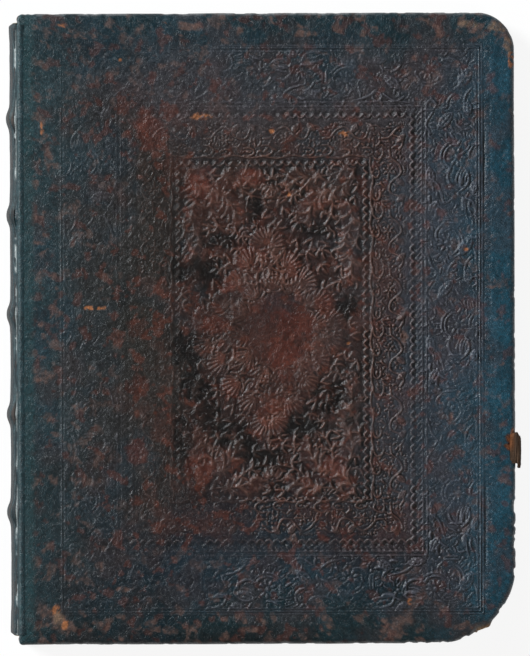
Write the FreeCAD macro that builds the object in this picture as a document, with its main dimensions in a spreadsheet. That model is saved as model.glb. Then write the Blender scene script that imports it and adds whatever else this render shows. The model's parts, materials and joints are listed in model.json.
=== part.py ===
import FreeCAD, Part

import math
import os

import Sketcher

# An antique leather book, in millimetres. It lies shut on its back cover: +Z is up through the front cover,
# +Y is the head, -X the spine and +X the fore edge. The origin is the middle of the underside.

SIZES = [
    ("cover_high", 230.0),
    ("cover_wide", 181.2),
    ("hide_thick", 1.0),
    ("board_thick", 6.0),
    ("turn_in_thick", 0.5),
    ("turn_in_wide", 12.0),
    ("pastedown_clearance", 0.2),
    ("block_thick", 36.0),
    ("square_wide", 3.35),
    ("fore_edge_hollow", 1.5),
    ("hinge_gap", 0.3),
    ("board_set_back", 1.5),
    ("head_fore_radius", 14.0),
    ("tail_fore_radius", 29.0),
    ("head_spine_radius", 2.5),
    ("tail_spine_radius", 1.5),
    ("board_spine_radius", 1.0),
    ("back_radius", 1.5),
    ("spine_round_radius", 200.0),
    ("lining_thick", 0.5),
    ("cord_thick", 1.7),
    ("cord_wide", 4.5),
    ("cord_clearance", 0.1),
    ("band_wide", 7.0),
    ("band_bevel", 1.0),
    ("band_pitch", 35.75),
    ("band_middle", 5.1),
    ("mortise_inset", 22.0),
    ("peg_long", 2.8),
    ("endband_thick", 2.8),
    ("endband_clearance", 0.2),
    ("strap_thick", 0.95),
    ("strap_wide", 13.6),
    ("strap_middle", -44.6),
    ("strap_reach", 2.25),
    ("strap_base_long", 4.6),
    ("strap_drop", 8.0),
    ("strap_clearance", 0.1),
    ("strap_hole_wide", 1.2),
    ("fillet_wide", 0.8),
    ("fillet_deep", 0.35),
    ("outer_frame_inset", 14.0),
    ("outer_frame_spine_inset", 16.0),
    ("wide_roll_wide", 20.7),
    ("vine_roll_wide", 20.7),
    ("lozenge_wide", 62.0),
    ("lozenge_high", 84.6),
    ("lozenge_rib_wide", 4.0),
    ("disc_wide", 5.2),
    ("disc_pitch", 30.6),
]

# Places worked out from the sizes. Those that end in _x, _y or _z are coordinates.
LAYOUT = [
    ("total_thick", "2 * (Sizes.hide_thick + Sizes.board_thick + Sizes.turn_in_thick) + Sizes.block_thick"),
    ("middle_z", "Layout.total_thick / 2"),
    ("cover_thick", "Sizes.hide_thick + Sizes.board_thick + Sizes.turn_in_thick"),
    ("block_high", "Sizes.cover_high - 2 * Sizes.square_wide"),
    ("slip_clear", "Sizes.hide_thick + Sizes.cord_thick + Sizes.hinge_gap"),
    ("corner_rise", "Layout.total_thick / 2 - Layout.slip_clear - Sizes.back_radius"),
    ("shoulder_back", "Sizes.board_set_back - Sizes.hinge_gap"),
    ("round_run", "sqrt((Sizes.spine_round_radius - Sizes.back_radius) ^ 2 - Layout.corner_rise ^ 2)"),
    ("band_reach", "Sizes.spine_round_radius + Sizes.cord_thick + Sizes.hide_thick - Layout.round_run"
                   " - Layout.shoulder_back"),
    ("joint_x", "(Layout.band_reach - Sizes.cover_wide - Sizes.strap_reach) / 2"),
    ("fore_x", "Layout.joint_x + Sizes.cover_wide"),
    ("cover_cut_x", "Layout.joint_x + Sizes.hinge_gap / 2"),
    ("spine_cut_x", "Layout.joint_x - Sizes.hinge_gap / 2"),
    ("board_x", "Layout.joint_x + Sizes.board_set_back"),
    ("shoulder_x", "Layout.joint_x + Layout.shoulder_back"),
    ("mortise_x", "Layout.board_x + Sizes.mortise_inset"),
    ("mortise_end_x", "Layout.mortise_x + Sizes.cord_thick + Sizes.peg_long + 3 * Sizes.cord_clearance"),
    ("block_fore_x", "Layout.fore_x - Sizes.square_wide"),
    ("window_x", "Layout.fore_x - Sizes.turn_in_wide"),
    ("window_high", "Sizes.cover_high - 2 * Sizes.turn_in_wide"),
    ("strap_base_x", "Layout.fore_x - Sizes.strap_base_long"),
    ("strap_out_x", "Layout.fore_x + Sizes.strap_reach"),
]

BAND_COUNT = 5
SIDES = ("front", "back")

doc = FreeCAD.newDocument("AntiqueBook")
sheet = doc.addObject("Spreadsheet::Sheet", "Sizes")
for row, (alias, size) in enumerate(SIZES, start=1):
    sheet.set(f"A{row}", alias)
    sheet.set(f"B{row}", str(size))
    sheet.setAlias(f"B{row}", alias)
doc.recompute()

layout = doc.addObject("App::VarSet", "Layout")
for alias, formula in LAYOUT:
    layout.addProperty("App::PropertyFloat", alias)
    layout.setExpression(alias, formula)
    doc.recompute()


def measure(formula):
    """The number that a formula over the sheet and the layout gives now."""
    return float(layout.evalExpression(formula))


def band_y(index):
    """The height on the spine of one raised band, the first nearest the head."""
    return f"Sizes.band_middle + {BAND_COUNT // 2 - index} * Sizes.band_pitch"


def new_body(name):
    body = doc.addObject("PartDesign::Body", name)
    body.Label = name
    return body


def new_sketch(body, name, role, offset):
    """A sketch on one of the body's own origin planes, moved along that plane's normal."""
    sketch = body.newObject("Sketcher::SketchObject", name)
    plane = next(feature for feature in body.Origin.OriginFeatures if feature.Role == role)
    sketch.AttachmentSupport = [(plane, "")]
    sketch.MapMode = "FlatFace"
    sketch.setExpression("AttachmentOffset.Base.z", offset)
    return sketch


def bind(sketch, constraint, name, formula):
    """Adds a dimension and ties it to a formula."""
    number = sketch.addConstraint(constraint)
    sketch.renameConstraint(number, name)
    sketch.setExpression(f"Constraints.{name}", formula)


def bind_point(sketch, element, point, name, across, up):
    """Ties a point of a sketch element to its two coordinates."""
    bind(sketch, Sketcher.Constraint("DistanceX", -1, 1, element, point, measure(across)), f"{name}_u", across)
    bind(sketch, Sketcher.Constraint("DistanceY", -1, 1, element, point, measure(up)), f"{name}_v", up)


def draw_polygon(sketch, name, corners):
    """A closed outline of straight edges, with each corner given by two formulas."""
    points = [FreeCAD.Vector(measure(across), measure(up), 0) for across, up in corners]
    count = len(points)
    lines = [
        sketch.addGeometry(Part.LineSegment(points[i], points[(i + 1) % count]), False) for i in range(count)
    ]
    for i, line in enumerate(lines):
        sketch.addConstraint(Sketcher.Constraint("Coincident", line, 2, lines[(i + 1) % count], 1))
    for i, (across, up) in enumerate(corners):
        bind_point(sketch, lines[i], 1, f"{name}_{i}", across, up)


def draw_rectangle(sketch, name, left, right, low, high):
    draw_polygon(sketch, name, [(left, low), (right, low), (right, high), (left, high)])


def draw_outline(sketch, left, right, low, high, radii):
    """A rectangle whose corners are arcs, in the order low left, low right, high right, high left."""
    x0, x1, y0, y1 = (measure(formula) for formula in (left, right, low, high))
    r = [measure(formula) for formula in radii]
    vector = FreeCAD.Vector
    edges = [
        (vector(x0 + r[0], y0), vector(x1 - r[1], y0)),
        (vector(x1, y0 + r[1]), vector(x1, y1 - r[2])),
        (vector(x1 - r[2], y1), vector(x0 + r[3], y1)),
        (vector(x0, y1 - r[3]), vector(x0, y0 + r[0])),
    ]
    centres = [
        vector(x0 + r[0], y0 + r[0]),
        vector(x1 - r[1], y0 + r[1]),
        vector(x1 - r[2], y1 - r[2]),
        vector(x0 + r[3], y1 - r[3]),
    ]
    lines = [sketch.addGeometry(Part.LineSegment(start, end), False) for start, end in edges]
    arcs = []
    for i, centre in enumerate(centres):
        circle = Part.Circle(centre, vector(0, 0, 1), r[i])
        turn = math.pi * (1 + i / 2)
        arcs.append(sketch.addGeometry(Part.ArcOfCircle(circle, turn, turn + math.pi / 2), False))
    for i in range(4):
        sketch.addConstraint(Sketcher.Constraint("Tangent", arcs[i], 2, lines[i], 1))
        sketch.addConstraint(Sketcher.Constraint("Tangent", lines[i], 2, arcs[(i + 1) % 4], 1))
        bind(sketch, Sketcher.Constraint("Radius", arcs[i], r[i]), f"radius_{i}", radii[i])
        sketch.addConstraint(Sketcher.Constraint("Vertical" if i % 2 else "Horizontal", lines[i]))
    bind(sketch, Sketcher.Constraint("DistanceY", -1, 1, lines[0], 1, y0), "low", low)
    bind(sketch, Sketcher.Constraint("DistanceX", -1, 1, lines[1], 1, x1), "right", right)
    bind(sketch, Sketcher.Constraint("DistanceY", -1, 1, lines[2], 1, y1), "high", high)
    bind(sketch, Sketcher.Constraint("DistanceX", -1, 1, lines[3], 1, x0), "left", left)


def draw_back_curve(sketch, name, outward, cut):
    """The book's rounded back, seen along Y, moved outward from the folds: a corner arc at each shoulder and
    one wide arc between them, ending on the upright line at cut. Gives the three arcs, top first."""
    corner_x = measure("Layout.shoulder_x")
    middle_x = measure("Layout.shoulder_x + Layout.round_run")
    middle_z = measure("Layout.middle_z")
    rise = measure("Layout.corner_rise")
    small = measure(f"Sizes.back_radius + {outward}")
    large = measure(f"Sizes.spine_round_radius + {outward}")
    normal = FreeCAD.Vector(0, 0, 1)
    start = math.acos((measure(cut) - corner_x) / small)
    lean = math.pi - math.asin(rise / measure("Sizes.spine_round_radius - Sizes.back_radius"))
    spans = [
        (FreeCAD.Vector(corner_x, middle_z + rise), small, start, lean),
        (FreeCAD.Vector(middle_x, middle_z), large, lean, 2 * math.pi - lean),
        (FreeCAD.Vector(corner_x, middle_z - rise), small, 2 * math.pi - lean, 2 * math.pi - start),
    ]
    arcs = [
        sketch.addGeometry(Part.ArcOfCircle(Part.Circle(centre, normal, radius), begin, end), False)
        for centre, radius, begin, end in spans
    ]
    sketch.addConstraint(Sketcher.Constraint("Tangent", arcs[0], 2, arcs[1], 1))
    sketch.addConstraint(Sketcher.Constraint("Tangent", arcs[1], 2, arcs[2], 1))
    bind_point(sketch, arcs[0], 3, f"{name}_top", "Layout.shoulder_x", "Layout.middle_z + Layout.corner_rise")
    bind_point(sketch, arcs[2], 3, f"{name}_low", "Layout.shoulder_x", "Layout.middle_z - Layout.corner_rise")
    corner = f"Sizes.back_radius + {outward}"
    bind(sketch, Sketcher.Constraint("Radius", arcs[0], small), f"{name}_corner_top", corner)
    bind(sketch, Sketcher.Constraint("Radius", arcs[2], small), f"{name}_corner_low", corner)
    wide = f"Sizes.spine_round_radius + {outward}"
    bind(sketch, Sketcher.Constraint("Radius", arcs[1], large), f"{name}_round", wide)
    return arcs


def join_upright(sketch, name, first, first_end, second, second_end, across):
    """A straight upright edge between two arc ends, held at one place across."""
    start = sketch.getPoint(first, first_end)
    end = sketch.getPoint(second, second_end)
    line = sketch.addGeometry(Part.LineSegment(start, end), False)
    sketch.addConstraint(Sketcher.Constraint("Coincident", first, first_end, line, 1))
    sketch.addConstraint(Sketcher.Constraint("Coincident", second, second_end, line, 2))
    sketch.addConstraint(Sketcher.Constraint("Vertical", line))
    bind(sketch, Sketcher.Constraint("DistanceX", -1, 1, line, 1, measure(across)), name, across)


def draw_back_shell(sketch, inner, outer):
    """A layer that lies over the rounded back between two offsets, cut off at the joints."""
    cut = "Layout.spine_cut_x"
    outside = draw_back_curve(sketch, "outside", outer, cut)
    inside = draw_back_curve(sketch, "inside", inner, cut)
    join_upright(sketch, "cut_top", outside[0], 1, inside[0], 1, cut)
    join_upright(sketch, "cut_low", outside[2], 2, inside[2], 2, cut)


def add_pad(body, name, sketch, length, reverse=False, middle=False):
    pad = body.newObject("PartDesign::Pad", name)
    pad.Profile = sketch
    pad.setExpression("Length", length)
    pad.Reversed = reverse
    if middle:
        pad.SideType = "Symmetric"
    doc.recompute()
    return pad


def add_pocket(body, name, sketch, length, reverse=False, middle=False):
    """A cut, which has to leave less of the body than there was."""
    before = body.Shape.Volume
    pocket = body.newObject("PartDesign::Pocket", name)
    pocket.Profile = sketch
    pocket.setExpression("Length", length)
    pocket.Reversed = reverse
    if middle:
        pocket.SideType = "Symmetric"
    doc.recompute()
    if body.Shape.Volume >= before:
        raise ValueError(f"{name} cuts nothing")
    return pocket


def level(side, depth):
    """The height of a plane that lies a given depth under one cover's outer face."""
    if side == "front":
        return f"Layout.total_thick - ({depth})"
    return depth


def pad_inward(body, name, sketch, side, length):
    return add_pad(body, name, sketch, length, reverse=side == "front")


def pocket_inward(body, name, sketch, side, length):
    return add_pocket(body, name, sketch, length, reverse=side == "back")


def fore_radii(inset, tail_spine, head_spine):
    """The four corner radii of an outline that lies an even inset inside the cover's edge."""
    return [
        tail_spine,
        f"Sizes.tail_fore_radius - {inset}",
        f"Sizes.head_fore_radius - {inset}",
        head_spine,
    ]


def make_board(side):
    """A wooden board, with a channel for each sewing slip and a mortise where the slip is pegged."""
    body = new_body(f"{side}_board")
    half = "(Sizes.cover_high / 2 - Sizes.hide_thick)"
    blank = new_sketch(body, f"{side}_board_blank", "XY_Plane", level(side, "Sizes.hide_thick"))
    radii = fore_radii("Sizes.hide_thick", "Sizes.board_spine_radius", "Sizes.board_spine_radius")
    draw_outline(blank, "Layout.board_x", "Layout.fore_x - Sizes.hide_thick", f"-{half}", half, radii)
    pad_inward(body, f"{side}_board_plank", blank, side, "Sizes.board_thick")
    half_wide = "(Sizes.cord_wide / 2 + Sizes.cord_clearance)"
    channels = new_sketch(body, f"{side}_board_channels", "XY_Plane", level(side, "Sizes.hide_thick"))
    mortises = new_sketch(body, f"{side}_board_mortises", "XY_Plane", level(side, "Sizes.hide_thick"))
    for i in range(BAND_COUNT):
        low = f"{band_y(i)} - {half_wide}"
        high = f"{band_y(i)} + {half_wide}"
        start = "Layout.board_x - Sizes.board_set_back"
        draw_rectangle(channels, f"channel_{i}", start, "Layout.mortise_x", low, high)
        draw_rectangle(mortises, f"mortise_{i}", "Layout.mortise_x", "Layout.mortise_end_x", low, high)
    pocket_inward(body, f"{side}_board_channel_cut", channels, side, "Sizes.cord_thick")
    pocket_inward(body, f"{side}_board_mortise_cut", mortises, side, "Sizes.board_thick")


def make_cover_leather(side):
    """The skin over one board, wrapped round its three open edges and turned in on its inner face."""
    body = new_body(f"{side}_cover_leather")
    half = "Sizes.cover_high / 2"
    outer = new_sketch(body, f"{side}_skin_outline", "XY_Plane", level(side, "0"))
    radii = fore_radii("0", "Sizes.tail_spine_radius", "Sizes.head_spine_radius")
    draw_outline(outer, "Layout.cover_cut_x", "Layout.fore_x", f"-{half}", half, radii)
    pad_inward(body, f"{side}_skin_blank", outer, side, "Layout.cover_thick")

    board = new_sketch(body, f"{side}_skin_board_room", "XY_Plane", level(side, "Sizes.hide_thick"))
    board_half = "(Sizes.cover_high / 2 - Sizes.hide_thick)"
    radii = fore_radii("Sizes.hide_thick", "Sizes.board_spine_radius", "Sizes.board_spine_radius")
    draw_outline(board, "Layout.board_x", "Layout.fore_x - Sizes.hide_thick", f"-{board_half}", board_half, radii)
    pocket_inward(body, f"{side}_skin_board_cut", board, side, "Sizes.board_thick")

    joint = new_sketch(body, f"{side}_skin_joint_room", "XY_Plane", level(side, "Sizes.hide_thick"))
    start = "Layout.joint_x - Sizes.board_set_back"
    draw_rectangle(joint, "strip", start, "Layout.board_x", f"-{half}", half)
    pocket_inward(body, f"{side}_skin_joint_cut", joint, side, "Sizes.board_thick + Sizes.turn_in_thick")

    window = new_sketch(
        body, f"{side}_skin_window", "XY_Plane", level(side, "Sizes.hide_thick + Sizes.board_thick")
    )
    window_half = "Layout.window_high / 2"
    draw_rectangle(window, "window", start, "Layout.window_x", f"-{window_half}", window_half)
    pocket_inward(body, f"{side}_skin_window_cut", window, side, "Sizes.turn_in_thick")
    return body


def make_pastedown(side):
    """The paper leaf glued inside a board, filling the space within the turned-in leather."""
    body = new_body(f"{side}_pastedown")
    leaf = new_sketch(body, f"{side}_leaf", "XY_Plane", level(side, "Sizes.hide_thick + Sizes.board_thick"))
    half = "(Layout.window_high / 2 - Sizes.pastedown_clearance)"
    draw_rectangle(
        leaf, "leaf", "Layout.board_x", "Layout.window_x - Sizes.pastedown_clearance", f"-{half}", half
    )
    pad_inward(body, f"{side}_leaf_sheet", leaf, side, "Sizes.turn_in_thick")


def make_slips(side):
    """The end of each sewing support, laid in its channel and turned down into the mortise."""
    top = level(side, "Sizes.hide_thick")
    under = level(side, "Sizes.hide_thick + Sizes.cord_thick")
    foot = level(side, "Sizes.hide_thick + Sizes.board_thick")
    elbow = "Layout.mortise_x + Sizes.cord_clearance"
    for i in range(BAND_COUNT):
        body = new_body(f"{side}_cord_slip_{i + 1}")
        sketch = new_sketch(body, f"{side}_slip_path_{i + 1}", "XZ_Plane", f"-({band_y(i)})")
        draw_polygon(sketch, "slip", [
            ("Layout.cover_cut_x", top),
            (f"{elbow} + Sizes.cord_thick", top),
            (f"{elbow} + Sizes.cord_thick", foot),
            (elbow, foot),
            (elbow, under),
            ("Layout.cover_cut_x", under),
        ])
        add_pad(body, f"{side}_slip_band_{i + 1}", sketch, "Sizes.cord_wide", middle=True)


def make_pegs(side):
    """The five wooden wedges that lock the slips, one group of separate solids."""
    pegs = []
    for i in range(BAND_COUNT):
        peg = doc.addObject("Part::Box", f"{side}_peg_{i + 1}")
        peg.setExpression("Length", "Sizes.peg_long")
        peg.setExpression("Width", "Sizes.cord_wide")
        peg.setExpression("Height", "Sizes.board_thick")
        beside = "Layout.mortise_x + Sizes.cord_thick + 2 * Sizes.cord_clearance"
        peg.setExpression("Placement.Base.x", beside)
        peg.setExpression("Placement.Base.y", f"{band_y(i)} - Sizes.cord_wide / 2")
        low = "Sizes.hide_thick + Sizes.board_thick" if side == "front" else "Sizes.hide_thick"
        peg.setExpression("Placement.Base.z", level(side, low))
        pegs.append(peg)
    group = doc.addObject("Part::Compound", f"{side}_board_pegs")
    group.Label = f"{side}_board_pegs"
    group.Links = pegs


def make_text_block():
    """All the leaves as one solid: square shoulders at the back, a hollow fore edge, worn fore corners."""
    body = new_body("text_block")
    half = "(Layout.block_high / 2)"
    page = new_sketch(body, "page_outline", "XY_Plane", "Layout.cover_thick")
    radii = fore_radii("Sizes.square_wide", "Sizes.board_spine_radius", "Sizes.board_spine_radius")
    draw_outline(page, "Layout.shoulder_x", "Layout.block_fore_x", f"-{half}", half, radii)
    add_pad(body, "leaves", page, "Sizes.block_thick")

    back = new_sketch(body, "back_outline", "XZ_Plane", "0")
    folds = draw_back_curve(back, "folds", "0", "Layout.shoulder_x")
    join_upright(back, "shoulder", folds[0], 1, folds[2], 2, "Layout.shoulder_x")
    add_pad(body, "folded_back", back, "Layout.block_high", middle=True)

    hollow = new_sketch(body, "fore_edge_hollow", "XZ_Plane", "0")
    low, high = "Layout.cover_thick", "Layout.total_thick - Layout.cover_thick"
    across = measure("Layout.block_fore_x")
    points = [FreeCAD.Vector(across, measure(low)), FreeCAD.Vector(across, measure(high))]
    deepest = FreeCAD.Vector(across - measure("Sizes.fore_edge_hollow"), measure("Layout.middle_z"))
    arc = hollow.addGeometry(Part.Arc(points[0], deepest, points[1]), False)
    line = hollow.addGeometry(Part.LineSegment(points[1], points[0]), False)
    ends = [1, 2] if hollow.getPoint(arc, 1).y < hollow.getPoint(arc, 2).y else [2, 1]
    hollow.addConstraint(Sketcher.Constraint("Coincident", arc, ends[1], line, 1))
    hollow.addConstraint(Sketcher.Constraint("Coincident", arc, ends[0], line, 2))
    bind_point(hollow, line, 1, "top", "Layout.block_fore_x", high)
    bind_point(hollow, line, 2, "low", "Layout.block_fore_x", low)
    radius = "(Sizes.block_thick ^ 2 / 4 + Sizes.fore_edge_hollow ^ 2) / (2 * Sizes.fore_edge_hollow)"
    bind(hollow, Sketcher.Constraint("Radius", arc, measure(radius)), "bow", radius)
    add_pocket(body, "fore_edge_cut", hollow, "Layout.block_high", middle=True)


def make_sewing_cords():
    """The five flat sewing supports that cross the back and stand up as the raised bands."""
    for i in range(BAND_COUNT):
        body = new_body(f"sewing_cord_{i + 1}")
        sketch = new_sketch(body, f"cord_section_{i + 1}", "XZ_Plane", f"-({band_y(i)})")
        draw_back_shell(sketch, "0", "Sizes.cord_thick")
        add_pad(body, f"cord_strip_{i + 1}", sketch, "Sizes.cord_wide", middle=True)


def make_spine_linings():
    """A paper lining glued to the folds in each of the six panels between the supports."""
    beside = "(Sizes.cord_wide / 2 + Sizes.cord_clearance)"
    for i in range(BAND_COUNT + 1):
        high = "Layout.block_high / 2" if i == 0 else f"{band_y(i - 1)} - {beside}"
        low = "-Layout.block_high / 2" if i == BAND_COUNT else f"{band_y(i)} + {beside}"
        body = new_body(f"spine_lining_{i + 1}")
        sketch = new_sketch(body, f"lining_section_{i + 1}", "XZ_Plane", f"-(({high}) + ({low})) / 2")
        draw_back_shell(sketch, "0", "Sizes.lining_thick")
        add_pad(body, f"lining_sheet_{i + 1}", sketch, f"({high}) - ({low})", middle=True)


def outer_edges(shape, radii):
    """The names of the arcs that run along a raised band's two outer edges."""
    names = []
    for number, edge in enumerate(shape.Edges, start=1):
        radius = getattr(edge.Curve, "Radius", 0.0)
        if any(abs(radius - wanted) < 1e-6 for wanted in radii):
            names.append(f"Edge{number}")
    return names


def make_spine_leather():
    """The skin over the back, drawn tight over the supports, with a hollow under each raised band."""
    body = new_body("spine_leather")
    inner = "Sizes.lining_thick"
    flat = "(Sizes.lining_thick + Sizes.hide_thick)"
    proud = "(Sizes.cord_thick + Sizes.hide_thick)"
    skin = new_sketch(body, "skin_section", "XZ_Plane", "0")
    draw_back_shell(skin, inner, flat)
    add_pad(body, "skin", skin, "Layout.block_high", middle=True)
    for i in range(BAND_COUNT):
        ridge = new_sketch(body, f"band_section_{i + 1}", "XZ_Plane", f"-({band_y(i)})")
        draw_back_shell(ridge, inner, proud)
        add_pad(body, f"band_{i + 1}", ridge, "Sizes.band_wide", middle=True)
    radii = [measure(f"Sizes.back_radius + {proud}"), measure(f"Sizes.spine_round_radius + {proud}")]
    ridged = body.Tip
    bevel = body.newObject("PartDesign::Chamfer", "band_bevels")
    bevel.Base = (ridged, outer_edges(ridged.Shape, radii))
    bevel.setExpression("Size", "Sizes.band_bevel")
    doc.recompute()
    for i in range(BAND_COUNT):
        hollow = new_sketch(body, f"cord_room_{i + 1}", "XZ_Plane", f"-({band_y(i)})")
        draw_back_shell(hollow, "0", "Sizes.cord_thick")
        room = "Sizes.cord_wide + 2 * Sizes.cord_clearance"
        add_pocket(body, f"cord_room_cut_{i + 1}", hollow, room, middle=True)


def make_endbands():
    """The sewn roll at the head and at the tail of the back, between the boards."""
    for name, sign in (("head_endband", ""), ("tail_endband", "-")):
        roll = doc.addObject("Part::Cylinder", name)
        roll.Label = name
        roll.setExpression("Radius", "Sizes.endband_thick / 2")
        roll.setExpression("Height", "Sizes.block_thick - 2 * Sizes.endband_clearance")
        roll.setExpression("Placement.Base.x", "Layout.shoulder_x")
        place = "(Layout.block_high / 2 + Sizes.endband_thick / 2)"
        roll.setExpression("Placement.Base.y", f"{sign}{place}")
        roll.setExpression("Placement.Base.z", "Layout.cover_thick + Sizes.endband_clearance")


def make_strap_stub(leather):
    """What is left of the lower clasp strap, lying in a seat cut in the front leather and bent down over the
    fore edge. A nail hole is left in it. The seat is cut in the leather that is given."""
    low = "(Sizes.strap_middle - Sizes.strap_wide / 2)"
    high = "(Sizes.strap_middle + Sizes.strap_wide / 2)"
    seat = new_sketch(leather, "strap_seat", "XY_Plane", "Layout.total_thick")
    draw_rectangle(
        seat, "seat", "Layout.strap_base_x - Sizes.strap_clearance", "Layout.strap_out_x",
        f"{low} - Sizes.strap_clearance", f"{high} + Sizes.strap_clearance"
    )
    add_pocket(leather, "strap_seat_cut", seat, "Sizes.hide_thick")

    body = new_body("clasp_strap_stub")
    side = new_sketch(body, "strap_side", "XZ_Plane", "-Sizes.strap_middle")
    top = "Layout.total_thick - Sizes.hide_thick + Sizes.strap_thick"
    base = "Layout.total_thick - Sizes.hide_thick"
    inside = "Layout.fore_x + Sizes.strap_clearance"
    draw_polygon(side, "strap", [
        ("Layout.strap_base_x", base),
        (inside, base),
        (inside, f"{base} - Sizes.strap_drop"),
        ("Layout.strap_out_x", f"{base} - Sizes.strap_drop"),
        ("Layout.strap_out_x", f"{top} - Sizes.strap_thick"),
        ("Layout.strap_out_x - Sizes.strap_thick", top),
        ("Layout.strap_base_x", top),
    ])
    add_pad(body, "strap_strip", side, "Sizes.strap_wide", middle=True)
    hole = new_sketch(body, "nail_hole", "XY_Plane", "Layout.total_thick")
    circle = Part.Circle(
        FreeCAD.Vector(measure("Layout.fore_x - Sizes.strap_hole_wide"), measure("Sizes.strap_middle")),
        FreeCAD.Vector(0, 0, 1), measure("Sizes.strap_hole_wide / 2")
    )
    ring = hole.addGeometry(circle, False)
    bind_point(hole, ring, 3, "nail", "Layout.fore_x - Sizes.strap_hole_wide", "Sizes.strap_middle")
    radius = "Sizes.strap_hole_wide / 2"
    bind(hole, Sketcher.Constraint("Radius", ring, measure(radius)), "nail_radius", radius)
    add_pocket(body, "nail_hole_cut", hole, "Sizes.hide_thick")


def frame_sides(inset):
    """The four sides of a tooled frame, an even inset inside the outermost frame."""
    half = f"(Sizes.cover_high / 2 - Sizes.outer_frame_inset - ({inset}))"
    left = f"Layout.joint_x + Sizes.outer_frame_spine_inset + ({inset})"
    right = f"Layout.fore_x - Sizes.outer_frame_inset - ({inset})"
    return left, right, f"-{half}", half


def tool_frames(leather):
    """The ruled frames of the front cover, as shallow grooves with square corners."""
    sketch = new_sketch(leather, "frame_lines", "XY_Plane", "Layout.total_thick")
    second = "Sizes.wide_roll_wide"
    panel = f"{second} + Sizes.vine_roll_wide"
    for name, inset in (("outer", "0"), ("second", second), ("panel", panel)):
        draw_rectangle(sketch, f"{name}_out", *frame_sides(inset))
        draw_rectangle(sketch, f"{name}_in", *frame_sides(f"{inset} + Sizes.fillet_wide"))
    add_pocket(leather, "frame_grooves", sketch, "Sizes.fillet_deep")


def tool_lozenge(leather):
    """The upright lozenge in the centre panel, as the sunk ground on both sides of its rib of leaves."""
    sketch = new_sketch(leather, "lozenge_lines", "XY_Plane", "Layout.total_thick")
    across = "(Layout.joint_x + Layout.fore_x + Sizes.outer_frame_spine_inset - Sizes.outer_frame_inset) / 2"
    slope = "Sizes.lozenge_high / Sizes.lozenge_wide"
    rings = (
        ("outer", "0"),
        ("outer_in", "Sizes.fillet_wide"),
        ("inner_out", "Sizes.lozenge_rib_wide + Sizes.fillet_wide"),
        ("inner", "Sizes.lozenge_rib_wide + 2 * Sizes.fillet_wide"),
    )
    for name, inset in rings:
        wide = f"(Sizes.lozenge_wide / 2 - ({inset}))"
        high = f"(Sizes.lozenge_high / 2 - ({inset}) * {slope})"
        draw_polygon(sketch, name, [
            (f"{across} - {wide}", "0"), (across, f"-{high}"), (f"{across} + {wide}", "0"), (across, high)
        ])
    add_pocket(leather, "lozenge_grooves", sketch, "Sizes.fillet_deep")


def tool_discs(leather):
    """The plain round flowers of the wide border, as shallow sunk discs down both sides."""
    sketch = new_sketch(leather, "disc_ring", "XY_Plane", "Layout.total_thick")
    left, right, low, high = frame_sides("Sizes.wide_roll_wide / 2")
    radius = "Sizes.disc_wide / 2"
    for column, across in (("left", left), ("right", right)):
        for step in range(-3, 4):
            place = FreeCAD.Vector(measure(across), measure(f"{step} * Sizes.disc_pitch"))
            circle = Part.Circle(place, FreeCAD.Vector(0, 0, 1), measure(radius))
            ring = sketch.addGeometry(circle, False)
            name = f"{column}_{step + 3}"
            bind_point(sketch, ring, 3, name, across, f"{step} * Sizes.disc_pitch")
            bind(sketch, Sketcher.Constraint("Radius", ring, measure(radius)), f"{name}_radius", radius)
    add_pocket(leather, "sunk_discs", sketch, "Sizes.fillet_deep")


def check_and_export():
    """Stops on any failed object or shape, then writes one file for each sub-part."""
    doc.recompute()
    for item in doc.Objects:
        if "Invalid" in item.State or "Error" in item.State:
            raise ValueError(f"{item.Name} failed: {item.State}")
    in_groups = [peg for group in doc.Objects if group.TypeId == "Part::Compound" for peg in group.Links]
    kinds = ("PartDesign::Body", "Part::Compound", "Part::Cylinder")
    pieces = [item for item in doc.Objects if item.TypeId in kinds and item not in in_groups]
    for piece in pieces:
        if piece.Shape.isNull() or not piece.Shape.isValid():
            raise ValueError(f"{piece.Label} has no sound shape")
    os.makedirs("parts", exist_ok=True)
    for piece in pieces:
        piece.Shape.exportStep(f"parts/{piece.Label}.step")
    print(len(pieces), "sub-parts written")


for cover_side in SIDES:
    make_board(cover_side)
    make_pastedown(cover_side)
    make_slips(cover_side)
    make_pegs(cover_side)
make_text_block()
make_sewing_cords()
make_spine_linings()
make_spine_leather()
make_endbands()
make_cover_leather("back")
front_leather = make_cover_leather("front")
make_strap_stub(front_leather)
tool_frames(front_leather)
tool_lozenge(front_leather)
tool_discs(front_leather)
check_and_export()
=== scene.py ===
"""Antique leather book, dressed: blind-tooled leather over wooden boards, raised bands, sewn leaves.

Lengths in the shapes below are millimetres in the part's own frame, and metres once they reach a mesh."""

import json
import math

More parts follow.
